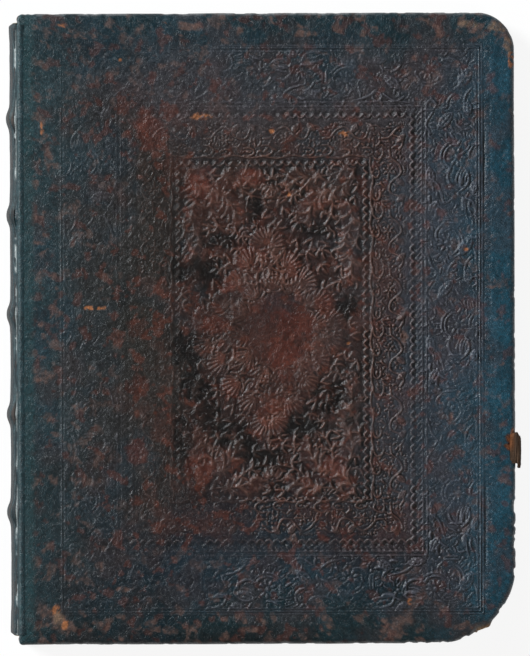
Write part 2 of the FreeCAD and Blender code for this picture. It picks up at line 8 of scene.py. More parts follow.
import bpy
import numpy as np
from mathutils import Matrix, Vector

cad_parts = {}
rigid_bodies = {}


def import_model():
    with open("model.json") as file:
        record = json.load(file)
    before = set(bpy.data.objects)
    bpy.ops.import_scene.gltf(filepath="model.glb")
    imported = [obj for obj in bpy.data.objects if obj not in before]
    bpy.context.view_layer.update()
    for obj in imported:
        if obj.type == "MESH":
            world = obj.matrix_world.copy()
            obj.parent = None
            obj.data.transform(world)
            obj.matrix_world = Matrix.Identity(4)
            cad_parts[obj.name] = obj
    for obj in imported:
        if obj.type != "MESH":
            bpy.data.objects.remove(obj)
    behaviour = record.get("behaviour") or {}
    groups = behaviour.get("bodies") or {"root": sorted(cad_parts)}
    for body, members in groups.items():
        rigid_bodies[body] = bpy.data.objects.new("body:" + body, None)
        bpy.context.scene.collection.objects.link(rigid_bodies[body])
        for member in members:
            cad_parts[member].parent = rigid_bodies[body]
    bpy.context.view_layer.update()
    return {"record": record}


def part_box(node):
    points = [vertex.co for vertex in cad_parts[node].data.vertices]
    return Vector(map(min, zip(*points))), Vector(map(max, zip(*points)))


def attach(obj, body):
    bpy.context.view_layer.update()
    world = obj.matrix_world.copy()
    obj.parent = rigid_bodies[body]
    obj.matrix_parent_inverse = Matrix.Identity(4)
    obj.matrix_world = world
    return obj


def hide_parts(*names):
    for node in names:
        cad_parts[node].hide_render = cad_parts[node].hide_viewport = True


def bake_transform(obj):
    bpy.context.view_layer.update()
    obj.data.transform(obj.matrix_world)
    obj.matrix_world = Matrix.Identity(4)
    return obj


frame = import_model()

bl_info = {
    "name": "Antique leather book",
    "version": (1, 0, 0),
    "blender": (4, 5, 0),
    "location": "View3D > Sidebar > Book",
    "description": "Dresses an old tooled leather binding, its leaves and its boards",
    "category": "Add Mesh",
}

MM = 1000.0


def box_mm(node):
    """A node's lowest and highest corners, in millimetres."""
    low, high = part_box(node)
    return np.array(low) * MM, np.array(high) * MM


COVER_LOW, COVER_HIGH = box_mm("front_cover_leather")
BLOCK_HIGH = box_mm("text_block")[1]
SPINE_LOW, SPINE_HIGH = box_mm("spine_leather")
STRAP_LOW, STRAP_HIGH = box_mm("clasp_strap_stub")
JOINTS = {joint["name"]: joint for joint in frame["record"]["behaviour"]["joints"]}

TOP_Z = COVER_HIGH[2]
MIDDLE_Z = TOP_Z / 2
COVER_THICK = COVER_HIGH[2] - COVER_LOW[2]
JOINT_X = JOINTS["front_cover_hinge"]["pos_m"][0] * MM
COVER_START_X = JOINT_X + 0.15
FORE_X = COVER_HIGH[0]
HALF_HIGH = COVER_HIGH[1]
MIDDLE_X = (JOINT_X + FORE_X) / 2

# The ruled frames of the front cover, as left, right, low and high lines.
OUTER_FRAME = (-73.7, 78.6, -103.0, 102.0)
SECOND_FRAME = (-52.7, 58.4, -81.9, 81.6)
PANEL_FRAME = (-31.2, 37.2, -62.3, 60.0)

# The round medallion in the panel, and the centre of the cover's rounded low fore corner.
MEDALLION = (5.5, -0.5)
MEDALLION_RADIUS = 14.5
FORE_CORNER = (62.5, -86.0)

# The plain face lies this far inside the solids' face, so that the strokes have room over it.
LEATHER_SINK = 0.22
GRID_STEP = 0.37
BACK_STEP = 1.4
BOARD_STEP = 9.0
CORNER_RADII = {"low_left": 1.5, "low_right": 29.0, "high_right": 14.0, "high_left": 2.5}

# The rounded back: corner arcs at the shoulders and one wide arc between, moved out to the leather's face.
BACK_RADIUS = 1.5
ROUND_RADIUS = 200.0
SHOULDER_X = JOINT_X + 1.2
CORNER_RISE = 21.0
SKIN_RISE = 1.5
BAND_RISE = 1.25
BAND_PLACES = (76.6, 41.3, 5.6, -30.8, -66.4)
BAND_SPREAD = 3.3


def srgb(red, green, blue):
    """A colour written as 0 to 255 display values, as the linear values that shaders take."""
    values = np.array([red, green, blue]) / 255.0
    return np.where(values <= 0.04045, values / 12.92, ((values + 0.055) / 1.055) ** 2.4)


def smooth(value, low, high):
    """0 below low, 1 above high, and 3u^2 - 2u^3 between, where u runs from 0 to 1."""
    u = np.clip((value - low) / (high - low), 0.0, 1.0)
    return u * u * (3.0 - 2.0 * u)


def lattice_noise(x, y, size, seed):
    """Value noise: random numbers on a square lattice of the given cell size, blended by 3u^2 - 2u^3."""
    rng = np.random.default_rng(seed)
    table = rng.random((256, 256))
    px, py = x / size + 1000.0, y / size + 1000.0
    ix, iy = np.floor(px).astype(int), np.floor(py).astype(int)
    fx, fy = px - ix, py - iy
    fx, fy = fx * fx * (3 - 2 * fx), fy * fy * (3 - 2 * fy)
    a, b = table[ix % 256, iy % 256], table[(ix + 1) % 256, iy % 256]
    c, d = table[ix % 256, (iy + 1) % 256], table[(ix + 1) % 256, (iy + 1) % 256]
    return (a * (1 - fx) + b * fx) * (1 - fy) + (c * (1 - fx) + d * fx) * fy


def cloud(x, y, size, seed, layers=4):
    """Layers of value noise, each half the size and half the weight of the one before and turned on the last,
    scaled to 0..1."""
    total, weight = 0.0, 0.0
    for layer in range(layers):
        share = 0.5 ** layer
        cos, sin = math.cos(0.6 + 1.1 * layer), math.sin(0.6 + 1.1 * layer)
        along, across = x * cos - y * sin, x * sin + y * cos
        total = total + share * lattice_noise(along, across, size * share, seed + layer)
        weight += share
    return total / weight


def segment_gap(s, t, start, end):
    """The distance from each place to the straight run between two points."""
    run = end - start
    along = np.clip(((s - start[0]) * run[0] + (t - start[1]) * run[1]) / max(run @ run, 1e-9), 0, 1)
    return np.hypot(s - start[0] - along * run[0], t - start[1] - along * run[1])


class Die:
    """A finishing tool: a small picture of raised strokes on sunk ground, pressed or rolled into the leather.

    up holds the strokes, down the ground pressed round them and body the swollen leaves, all from 0 to 1. A
    die that yields gives way to the leaves that are already pressed."""

    STEP = 0.09
    HALO = 2.3

    def __init__(self, long, wide, repeats=False, yields=False):
        self.long = long
        self.wide = wide
        self.repeats = repeats
        self.yields = yields
        self.shifts = (-long, 0.0, long) if repeats else (0.0,)
        first = 0.0 if repeats else -long / 2
        along = np.arange(first, first + long, self.STEP)
        across = np.arange(-wide / 2, wide / 2, self.STEP)
        self.s, self.t = np.meshgrid(along, across, indexing="ij")
        self.up = np.zeros(self.s.shape)
        self.down = np.zeros(self.s.shape)
        self.body = np.zeros(self.s.shape)

    def pad(self, outline):
        """Fills a closed outline with a swollen leaf: 3u^2 - 2u^3 of the distance inside its edge, where
        u runs from 0 at the edge to 1 at 0.9 mm inside. A place is inside where a ray from it crosses the
        outline an odd number of times."""
        for shift in self.shifts:
            points = np.asarray(outline, dtype=float) + np.array([shift, 0.0])
            low, high = points.min(axis=0), points.max(axis=0)
            near = (self.s > low[0]) & (self.s < high[0]) & (self.t > low[1]) & (self.t < high[1])
            s, t = self.s[near], self.t[near]
            odd = np.zeros(s.shape, dtype=bool)
            apart = np.full(s.shape, np.inf)
            for start, end in zip(points, np.roll(points, -1, axis=0)):
                crossing = (start[1] > t) != (end[1] > t)
                rise = end[1] - start[1] if end[1] != start[1] else 1e-9
                odd ^= crossing & (s < start[0] + (t - start[1]) * (end[0] - start[0]) / rise)
                apart = np.minimum(apart, segment_gap(s, t, start, end))
            self.body[near] = np.maximum(self.body[near], np.where(odd, smooth(apart, 0.0, 0.9), 0.0))

    def stroke(self, points, width, height=1.0):
        """Raises a line through the points. Its section is (1 - (d/w)^2)^2, where d is the distance from the
        line and w the width there; the ground sinks by the same rule over a wider strip."""
        points = np.asarray(points, dtype=float)
        widths = np.broadcast_to(np.asarray(width, dtype=float), (len(points),))
        reach = widths.max() * self.HALO
        for shift in self.shifts:
            moved = points + np.array([shift, 0.0])
            first, last = moved[:, 0].min() - reach, moved[:, 0].max() + reach
            rows = np.flatnonzero((self.s[:, 0] > first) & (self.s[:, 0] < last))
            if len(rows) == 0:
                continue
            window = slice(rows[0], rows[-1] + 1)
            s, t = self.s[window], self.t[window]
            nearest = np.full(s.shape, np.inf)
            for start, end, w in zip(moved[:-1], moved[1:], (widths[:-1] + widths[1:]) / 2):
                nearest = np.minimum(nearest, segment_gap(s, t, start, end) / w)
            line = np.clip(1 - nearest ** 2, 0, 1) ** 2 * height
            ground = np.clip(1 - (nearest / self.HALO) ** 2, 0, 1) ** 2
            self.up[window] = np.maximum(self.up[window], line)
            self.down[window] = np.maximum(self.down[window], ground * min(1.0, height * 1.3))

    def dot(self, place, radius, height=1.0):
        """A small round boss."""
        s, t = place
        self.stroke([(s, t), (s + 0.01, t)], radius, height)

    def sample(self, s, t):
        """The strokes, ground and leaves at places on the die, by bilinear interpolation; nothing outside
        it."""
        rows, columns = self.up.shape
        row = (np.mod(s, self.long) if self.repeats else s + self.long / 2) / self.STEP
        column = (t + self.wide / 2) / self.STEP
        inside = (column > 0) & (column < columns - 1.001)
        if not self.repeats:
            inside &= (row > 0) & (row < rows - 1.001)
        row = np.where(inside, row, 0.0)
        column = np.where(inside, column, 0.0)
        i, j = row.astype(int), column.astype(int)
        fi, fj = row - i, column - j
        i %= rows
        k = (i + 1) % rows
        m = np.minimum(j + 1, columns - 1)

        def read(layer):
            near = layer[i, j] * (1 - fj) + layer[i, m] * fj
            far = layer[k, j] * (1 - fj) + layer[k, m] * fj
            return np.where(inside, near * (1 - fi) + far * fi, 0.0)

        return read(self.up), read(self.down), read(self.body)


def arc_line(centre, radius, start, end, count=18):
    """Points on a circle from one angle to another, in degrees."""
    turn = np.radians(np.linspace(start, end, count))
    return np.stack([centre[0] + radius * np.cos(turn), centre[1] + radius * np.sin(turn)], axis=1)


def way_at(turn):
    """The unit way at an angle in degrees."""
    return arc_line((0, 0), 1, turn, turn, 1)[0]


def spiral_line(centre, first, last, start, end, count=36):
    """A spiral whose radius changes evenly with its angle."""
    turn = np.radians(np.linspace(start, end, count))
    radius = np.linspace(first, last, count)
    return np.stack([centre[0] + radius * np.cos(turn), centre[1] + radius * np.sin(turn)], axis=1)


def bent_line(start, end, bulge, count=12):
    """A shallow bow between two points: a straight run plus bulge times 4u(1-u) square to it."""
    u = np.linspace(0, 1, count)[:, None]
    start, end = np.array(start, dtype=float), np.array(end, dtype=float)
    run = end - start
    side = np.array([-run[1], run[0]]) / max(np.hypot(*run), 1e-9)
    return start + run * u + side * bulge * 4 * u * (1 - u)


def through(points, count=40):
    """A smooth Catmull-Rom curve through the given points."""
    p = np.asarray(points, dtype=float)
    p = np.vstack([2 * p[0] - p[1], p, 2 * p[-1] - p[-2]])
    runs = len(p) - 3
    u = np.linspace(0, runs - 1e-6, count)
    i = u.astype(int)
    f = (u - i)[:, None]
    a, b, c, d = p[i], p[i + 1], p[i + 2], p[i + 3]
    square, cube = 2 * a - 5 * b + 4 * c - d, 3 * b - a - 3 * c + d
    return 0.5 * (2 * b + (c - a) * f + square * f ** 2 + cube * f ** 3)


def taper(count, thick, thin):
    """Widths that swell in the middle of a stroke: thin at its ends and thick half way."""
    u = np.linspace(0, 1, count)
    return thin + (thick - thin) * np.sin(np.pi * u)


def zigzag_die():
    """A roll of small scallops whose points turn outward, with a pit pressed between each pair."""
    pitch = 3.03
    die = Die(pitch, 3.4, repeats=True)
    s = np.linspace(0, pitch, 17)
    die.stroke(np.stack([s, 0.75 - 1.45 * np.sin(np.pi * s / pitch) ** 0.8], axis=1), 0.42)
    die.down = np.maximum(die.down, np.clip(1.3 - np.hypot(die.s - pitch / 2, die.t - 0.9) / 0.9, 0, 1))
    return die


def rope_die():
    """A roll of short slanting dashes."""
    pitch = 2.05
    die = Die(pitch, 2.4, repeats=True)
    die.stroke(bent_line((0.35, -0.6), (1.55, 0.6), 0.1), 0.36, 0.8)
    return die


def fillet_die(lines):
    """Ruled lines: a ridge at each given distance across, with the ground pressed beside it."""
    die = Die(1.0, 6.0, repeats=True)
    for across in lines:
        die.stroke([(0.0, across), (1.0, across)], 0.36, 0.8)
    return die


def dentil_die():
    """A roll of small upright teeth."""
    pitch = 1.75
    die = Die(pitch, 2.6, repeats=True)
    die.stroke([(pitch / 2, -0.7), (pitch / 2, 0.7)], 0.42, 0.5)
    return die


def draw_rays(die, centre, turns, near, far, widths, height=1.0):
    """Straight strokes fanned round a centre at the given angles, from one distance to another."""
    for turn in turns:
        way = way_at(turn)
        die.stroke([centre + near * way, centre + far * way], widths, height)


def draw_bows(die, bows):
    """Bowed strokes, each given as start, end, bulge and thickness."""
    for start, end, bulge, thick in bows:
        die.stroke(bent_line(start, end, bulge), taper(12, thick, 0.45 * thick))


def leaf_outline(root, tip, plump, lobes):
    """A lobed leaf's outline: at u along it, each side stands plump sin(pi u^0.8) (1 + 0.22 |sin(lobes pi
    u)|) from the rib."""
    root, tip = np.array(root, dtype=float), np.array(tip, dtype=float)
    run = tip - root
    side = np.array([-run[1], run[0]]) / np.hypot(*run)
    u = np.linspace(0, 1, 25)
    reach = plump * np.sin(np.pi * u ** 0.8) * (1 + 0.22 * np.abs(np.sin(lobes * np.pi * u)))
    one = root + u[:, None] * run + reach[:, None] * side
    other = root + u[:, None] * run - reach[:, None] * side
    return np.concatenate([one, other[::-1]])


def draw_leaf(die, root, tip, plump, veins):
    """A leaf: a swollen body with two bowed sides, a rib and slanting veins on both sides of it."""
    root, tip = np.array(root, dtype=float), np.array(tip, dtype=float)
    run = tip - root
    length = np.hypot(*run)
    ahead, side = run / length, np.array([-run[1], run[0]]) / length
    die.pad(leaf_outline(root, tip, 1.15 * plump, veins))
    draw_bows(die, [(root, tip, plump, 0.45), (root, tip, -plump, 0.45), (root, root + 0.8 * run, 0.0, 0.34)])
    for number in range(veins):
        u = (number + 0.8) / (veins + 0.6)
        start = root + u * run
        reach = 1.2 * plump * math.sin(math.pi * min(u + 0.12, 1.0))
        for way in (1, -1):
            die.stroke([start, start + 0.75 * reach * ahead + way * reach * side], [0.32, 0.2], 0.9)


def fill_gaps(die, seed, pitch, long):
    """Fills the bare ground of a die with short bowed strokes on a jittered grid. Their heading turns with
    their place, and a stroke is left out where the ground round it is already worked."""
    rng = np.random.default_rng(seed)
    for s in np.arange(pitch / 2, die.long, pitch):
        for t in np.arange(-die.wide / 2 + 1.2, die.wide / 2 - 1.0, pitch):
            place = np.array([s, t]) + rng.uniform(-0.3, 0.3, 2) * pitch
            row = int(place[0] / die.STEP) % die.up.shape[0]
            column = int((place[1] + die.wide / 2) / die.STEP)
            reach = int(0.55 * long / die.STEP)
            part = die.up[max(row - reach, 0):row + reach, max(column - reach, 0):column + reach]
            heading = 1.1 * math.sin(place[0] * 0.42) + 0.9 * math.cos(place[1] * 0.6)
            heading += rng.uniform(-0.4, 0.4)
            bulge = rng.uniform(-0.5, 0.5)
            if part.size and part.mean() < 0.10:
                half = 0.5 * long * np.array([math.cos(heading), math.sin(heading)])
                draw_bows(die, [(place - half, place + half, bulge, 0.44)])


def scroll_die():
    """The wide roll: two round flowers to a length, each in a bowed calyx, with leaves, rings and knots
    between them. The die's s runs up from the first flower and its t outward."""
    die = Die(61.2, 20.4, repeats=True)
    for flower, turns in (((1.0, 2.4), (205, 335)), ((31.0, -1.4), (25, 155))):
        die.dot(flower, 1.3, 0.7)
        draw_rays(die, flower, np.arange(15, 375, 40), 1.9, 3.2, [0.5, 0.72], 0.75)
        for radius in (4.7, 5.9):
            die.stroke(arc_line(flower, radius, *turns), taper(18, 0.55, 0.25))
        draw_rays(die, flower, np.arange(turns[0] + 10, turns[1], 15), 6.4, 8.4, [0.42, 0.22], 0.9)
    bows = [
        ((-1.8, -2.4), (-4.7, 0.0), -0.8, 0.6), ((-2.9, 5.1), (-11.3, 3.6), -2.2, 0.7),
        ((-2.5, 0.2), (-11.0, 2.6), 2.4, 0.7), ((-5.1, 3.6), (-9.8, 3.6), 0.0, 1.0),
        ((-14.6, -5.1), (-18.6, -1.5), 0.8, 0.6), ((-13.1, -7.6), (-15.6, -7.6), 0.3, 0.9),
        ((-18.2, -5.1), (-21.1, -5.1), 0.3, 0.9), ((10.2, 0.0), (7.6, 1.5), 0.3, 0.6),
        ((5.1, 8.4), (0.4, 6.7), 0.6, 0.6), ((37.1, -3.3), (32.0, -4.9), 1.2, 0.6),
        ((26.2, 8.0), (20.0, 5.1), 1.0, 0.6), ((38.2, -2.6), (38.2, 2.6), 0.0, 0.5),
        ((39.4, -2.2), (39.4, 2.2), 0.0, 0.4), ((47.3, 4.7), (43.0, 4.7), 0.3, 1.0),
        ((45.9, 7.0), (40.8, 8.0), 0.8, 0.6), ((51.3, -1.0), (51.3, 3.0), 0.0, 0.5),
        ((14.8, 1.8), (11.0, 4.6), 0.6, 0.6), ((24.0, 1.6), (20.2, -1.2), 0.6, 0.6),
    ]
    draw_bows(die, bows)
    for shift in range(4):
        draw_bows(die, [((9.8, 5.0 + shift), (7.4, 5.6 + shift), 0.2, 0.42)])
        draw_bows(die, [((57.4, 3.4 + 1.1 * shift), (52.4, 1.9 + 1.1 * shift), 0.4, 0.5)])
    for points in (
        [(-13.5, 3.6), (-15.3, 8.0), (-19.7, 9.2)], [(-14.2, 5.1), (-19.3, 5.5), (-22.2, 6.4)],
        [(17.5, -6.3), (13.1, -8.9), (9.5, -7.1)], [(28.4, -8.7), (22.9, -7.1), (19.3, -4.0)],
        [(55.0, -8.0), (51.7, -4.4), (45.1, -2.4)],
    ):
        die.stroke(through(points), taper(40, 0.6, 0.32))
    draw_leaf(die, (16.0, 6.4), (21.4, 6.2), 1.3, 3)
    draw_leaf(die, (11.2, -4.6), (17.2, 0.6), 1.5, 4)
    draw_leaf(die, (26.4, 3.2), (33.6, 7.6), 1.7, 5)
    draw_leaf(die, (41.0, -7.6), (46.2, -4.8), 1.4, 4)
    draw_leaf(die, (58.6, -7.8), (52.0, -7.0), 1.3, 4)
    draw_leaf(die, (48.8, 8.2), (53.4, 8.6), 1.0, 3)
    for knot in ((-12.6, 2.8), (38.8, -4.2), (38.8, 4.2), (51.3, 4.2)):
        die.dot(knot, 0.8)
    die.stroke(arc_line((19.8, -7.1), 1.7, 0, 360, 24), 0.4)
    die.dot((19.8, -7.1), 0.5)
    fill_gaps(die, 301, 2.5, 2.3)
    return die


def vine_die():
    """The narrow roll: a winding stem with berries, cupped scrolls along its inner side, small six-leaved
    flowers and a ladder of dashes along its outer side."""
    die = Die(21.6, 14.0, repeats=True)
    lines = [
        [(0.0, 0.5), (-2.7, 0.9), (-5.1, 3.7), (-8.4, 4.6), (-12.0, 0.9), (-15.3, 0.7), (-17.1, 4.6)],
        [(0.0, -6.0), (-5.4, -6.6), (-10.8, -5.6), (-16.2, -6.4), (-21.6, -6.0)],
        [(-17.1, 4.6), (-19.4, 5.2), (-21.6, 3.8)],
    ]
    for points in lines:
        die.stroke(through(points), 0.46)
    cups = [((-0.6, -3.8), 1.9, 2.8), ((-15.8, -4.3), 1.5, 2.5), ((-8.2, -4.4), 1.1, 1.8)]
    for centre, half_wide, half_long in cups:
        turn = np.radians(np.linspace(60, 300, 24))
        cup = np.stack([centre[0] + half_long * np.cos(turn), centre[1] + half_wide * np.sin(turn)], axis=1)
        die.stroke(cup, taper(24, 0.5, 0.32))
        die.dot(centre, 0.5)
        die.dot((centre[0] + 1.3, centre[1] + 0.2), 0.38)
    berries = [
        (-1.3, -3.2), (-2.2, -1.4), (-2.7, 3.2), (-16.7, -1.9), (-18.6, -0.6), (-18.9, 1.9), (-3.2, 5.6),
        (-13.2, 3.2), (-14.6, 4.2), (-12.2, 4.8), (-20.6, 0.4), (-5.4, 1.0), (-10.6, -1.6),
    ]
    for place in berries:
        die.dot(place, 0.56)
    draw_rays(die, (-7.6, 0.1), np.arange(0, 360, 60), 0.6, 1.9, [0.34, 0.5])
    for step in range(6):
        draw_bows(die, [((-4.6 - 0.85 * step, 5.3), (-4.4 - 0.85 * step, 6.5), 0.0, 0.36)])
    draw_leaf(die, (-10.4, 2.6), (-12.8, 5.8), 0.8, 3)
    draw_leaf(die, (-18.8, 3.4), (-16.0, 5.9), 0.8, 3)
    draw_bows(die, [((-11.4, -2.8), (-13.4, -1.2), 0.4, 0.5), ((-19.4, -2.2), (-20.8, -0.4), 0.4, 0.5)])
    fill_gaps(die, 303, 2.0, 1.5)
    return die


def fan_die():
    """The plume tool of the lozenge: a shell of seven spread ribs on a swollen body, over a bowed foot."""
    die = Die(12.0, 12.0)
    root = np.array([-3.6, 0.0])
    outline = []
    for turn in np.linspace(-52, 52, 27):
        reach = 7.4 - 0.012 * abs(turn) + 0.45 * abs(math.sin(math.radians(turn + 52) * 6.05))
        outline.append(root + reach * way_at(turn))
    die.pad(np.array([root] + outline))
    for turn in np.linspace(-44, 44, 7):
        way = way_at(turn)
        tip = root + (7.6 - 0.02 * abs(turn)) * way
        die.stroke(bent_line(root + way, tip, 0.008 * turn), taper(12, 0.46, 0.3))
    for side in (1, -1):
        draw_bows(die, [((-3.4, 0.4 * side), (-1.4, 4.2 * side), 0.9 * side, 0.62)])
    die.dot((-4.2, 0.0), 0.75)
    return die


def acanthus_die(seed, bow):
    """A bowed leaf of five pairs of fat lobes that lean forward from its rib, no two the same length."""
    die = Die(19.0, 15.0)
    rng = np.random.default_rng(seed)
    rib = through([(-8.0, -1.2 * bow), (-3.0, 0.8 * bow), (3.0, 0.5 * bow), (7.6, -2.0 * bow)], 24)
    die.stroke(rib, taper(24, 0.55, 0.34), 0.9)
    tips = {1: [], -1: []}
    for number in range(5):
        u = (number + 0.5) / 5.0
        for way in (1, -1):
            root = rib[int((u + rng.uniform(-0.05, 0.05)) * 23)]
            long = 6.0 * math.sin(math.pi * (0.18 + 0.72 * u)) * rng.uniform(0.72, 1.12)
            lean = math.radians(way * (66 - 30 * u + rng.uniform(-8, 8)))
            tip = root + long * np.array([math.cos(lean), math.sin(lean)])
            die.stroke(bent_line(root, tip, -0.2 * way * long), taper(12, 0.95, 0.5), 0.85)
            inner = root + 0.35 * (tip - root) + np.array([0.9, 0.0])
            outer = tip + np.array([0.9, -0.5 * way])
            die.stroke(bent_line(inner, outer, -0.12 * way * long), 0.4, 0.5)
            tips[way].append(tip)
    die.pad(np.concatenate([[rib[0]], tips[1], [rib[-1]], tips[-1][::-1]]))
    return die


def sprig_die(turns):
    """A small sprig: short bowed lobes fanned from one foot at the given angles."""
    die = Die(7.0, 7.0, yields=True)
    foot = np.array([-1.6, 0.0])
    for turn in turns:
        tip = foot + (3.6 - 0.008 * abs(turn)) * way_at(turn)
        draw_bows(die, [(foot, tip, 0.012 * turn, 0.7)])
    die.dot((-2.0, 0.0), 0.5)
    return die


def stem_die():
    """A long bowed stem with a curled end, three lobes on its outer side and a bud at its foot."""
    die = Die(21.0, 11.0)
    stem = through([(-9.0, -2.6), (-5.0, -0.4), (0.0, 0.8), (5.0, -0.2), (8.0, -2.4)], 30)
    die.stroke(stem, taper(30, 0.62, 0.34))
    die.stroke(spiral_line((6.4, -3.6), 2.0, 0.5, 30, -300), taper(36, 0.5, 0.3), 0.9)
    for number, u in enumerate((0.22, 0.44, 0.66)):
        root = stem[int(u * 29)]
        draw_bows(die, [(root, root + np.array([2.6, 3.4 - 0.4 * number]), -0.7, 0.8)])
        draw_bows(die, [(root, root + np.array([2.2, -2.6]), 0.5, 0.62)])
    die.dot((-9.0, -2.6), 0.8)
    return die


def star_die():
    """A star of six narrow petals."""
    die = Die(5.4, 5.4)
    draw_rays(die, (0.0, 0.0), np.arange(30, 390, 60), 0.55, 1.95, [0.42, 0.3])
    return die


def rosette_die():
    """A round flower: a ring, eight petals in it and an eye."""
    die = Die(9.0, 9.0)
    die.stroke(arc_line((0, 0), 3.2, 0, 360, 40), 0.4)
    draw_rays(die, (0.0, 0.0), np.arange(0, 360, 45), 1.1, 2.2, [0.4, 0.5], 0.9)
    die.dot((0, 0), 0.55)
    return die


def tulip_die():
    """A bud: two bowed sides, a point between them and a short forked foot."""
    die = Die(11.0, 9.0)
    die.pad(leaf_outline((-2.8, 0.0), (4.2, 0.0), 2.0, 3))
    for side in (1, -1):
        die.stroke(bent_line((-2.6, 0.2 * side), (2.8, 1.6 * side), 1.5 * side), taper(12, 0.62, 0.26))
        die.stroke(bent_line((-2.8, 0.3 * side), (-4.4, 2.0 * side), -0.6 * side), taper(12, 0.46, 0.22))
    die.stroke([(-1.2, 0), (3.6, 0)], [0.5, 0.24])
    return die


def palmette_die():
    """A palmette of seven fanned petals over two small curls."""
    die = Die(13.0, 13.0)
    die.pad(leaf_outline((-0.6, 0.0), (6.2, 0.0), 3.4, 5))
    for turn in np.linspace(-72, 72, 7):
        way = way_at(turn)
        long = 5.6 - 0.018 * abs(turn)
        die.stroke(bent_line(1.6 * way, long * way, 0.012 * turn), taper(12, 0.66, 0.3))
    for side in (1, -1):
        die.stroke(spiral_line((-2.2, 2.0 * side), 1.8, 0.5, 90 * side, 400 * side), 0.34)
    die.dot((0.3, 0), 0.6)
    return die


def lozenge_stamps(fan, tulip, stem):
    """The lozenge: along each of its four sides five plumes turned outward, each leaning its own way,
    with buds and bowed stems inside them."""
    centre, half_wide, half_high, count = np.array([2.2, -1.3]), 26.5, 37.5, 5
    corners = np.array([(half_wide, 0.0), (0.0, half_high), (-half_wide, 0.0), (0.0, -half_high)])
    rng = np.random.default_rng(311)
    stamps = []
    for start, end in zip(corners, np.roll(corners, -1, axis=0)):
        run = end - start
        outward = math.degrees(math.atan2(-run[0], run[1]))
        out = np.array([run[1], -run[0]]) / np.hypot(*run)
        for step in range(count):
            u = (step + 0.5) / count
            lean = 26.0 * (u - 0.5) + rng.uniform(-14, 14)
            place = centre + start + u * run + out * rng.uniform(-1.2, 1.0)
            stamps.append((fan, place, outward + lean, 1 if step % 2 else -1))
        for step in range(count - 1):
            u = (step + 1.0) / count
            stamps.append((tulip, centre + start + u * run - 5.0 * out, outward + rng.uniform(-20, 20), 1))
        for u in (0.25, 0.75):
            turn = outward + (64 if u < 0.5 else -64)
            stamps.append((stem, centre + start + u * run - 7.0 * out, turn, 1 if u < 0.5 else -1))
    for turn in np.arange(8, 368, 30):
        place = np.array(MEDALLION) + way_at(turn) * np.array([15.5, 17.5])
        stamps.append((fan, place, turn + rng.uniform(-12, 12), 1))
    return stamps


def scattered_stamps(sprigs):
    """Sprigs on a jittered grid over the panel outside the medallion, each turned its own way."""
    left, right, low, high = PANEL_FRAME
    rng = np.random.default_rng(317)
    stamps = []
    for x in np.arange(left + 3.4, right - 2.0, 5.0):
        for y in np.arange(low + 3.4, high - 2.0, 5.0):
            place = np.array([x, y]) + rng.uniform(-1.4, 1.4, 2)
            heading = 90 * math.sin(0.11 * x + 1) + 120 * math.cos(0.09 * y) + rng.uniform(-60, 60)
            if math.hypot((place[0] - MEDALLION[0]) / 16.0, (place[1] - MEDALLION[1]) / 16.0) > 1.0:
                stamps.append((sprigs[rng.integers(len(sprigs))], place, heading, 1))
    return stamps


def corner_stamps(leaf_pair, stem, palmette):
    """The foliage in the corners of the panel: feathered leaves and stems along both sides of each corner."""
    left, right, low, high = PANEL_FRAME
    leaves = [(9.0, 7.5, 40), (21.0, 6.0, 4), (6.2, 21.0, 86), (17.5, 14.5, 48), (6.0, 36.0, 94)]
    stems = [(13.5, 18.5, 70), (27.5, 11.0, 20), (4.6, 29.0, 60), (13.0, 3.4, 10)]
    stamps = []
    for corner_x, way_x in ((left, 1), (right, -1)):
        for corner_y, way_y in ((low, 1), (high, -1)):
            for spray, picks in ((leaves, leaf_pair), (stems, (stem, stem))):
                for number, (in_x, in_y, lean) in enumerate(spray):
                    die = picks[number % 2]
                    place = (corner_x + way_x * in_x, corner_y + way_y * in_y)
                    turn = math.radians(lean)
                    heading = math.degrees(math.atan2(way_y * math.sin(turn), way_x * math.cos(turn)))
                    stamps.append((die, place, heading, way_x * way_y))
    stamps += [(palmette, (3.0, 52.5), 270, 1), (palmette, (3.0, -55.5), 90, 1)]
    return stamps


def panel_stamps():
    """Every single tool of the centre panel, as die, place, heading in degrees and mirroring."""
    fan, star, rosette = fan_die(), star_die(), rosette_die()
    tulip, palmette, stem = tulip_die(), palmette_die(), stem_die()
    leaf_pair = (acanthus_die(331, 1.0), acanthus_die(337, -1.4))
    sprigs = (sprig_die((-50, 0, 50)), sprig_die((-24, 24)), sprig_die((-70, -20, 30, 74)))
    stamps = corner_stamps(leaf_pair, stem, palmette) + lozenge_stamps(fan, tulip, stem)
    stamps += scattered_stamps(sprigs)
    star_places = [
        (-6.2, 41.1), (12.0, 40.6), (-15.3, 31.8), (19.7, 28.9), (28.8, 17.7), (-24.4, 19.5), (33.1, -18.6),
        (19.7, -33.7), (-17.1, -33.3), (-9.2, -43.3), (10.8, -43.8),
    ]
    stamps += [(star, place, 0, 1) for place in star_places]
    stamps += [(rosette, place, 0, 1) for place in ((4.0, 16.6), (1.0, -19.5), (-15.5, -1.5), (20.0, -1.5))]
    return stamps


def frame_gaps(x, y, lines):
    """How far each place lies inside the left, right, low and high line of a rectangle."""
    left, right, low, high = lines
    return np.stack([x - left, right - x, y - low, high - y])


def within(x, y, lines):
    """Whether each place lies inside a rectangle."""
    return frame_gaps(x, y, lines).min(axis=0) > 0


def medallion_gap(x, y):
    """The distance from the medallion's centre, where 1 is its edge."""
    return np.hypot((x - MEDALLION[0]) / MEDALLION_RADIUS, (y - MEDALLION[1]) / MEDALLION_RADIUS)


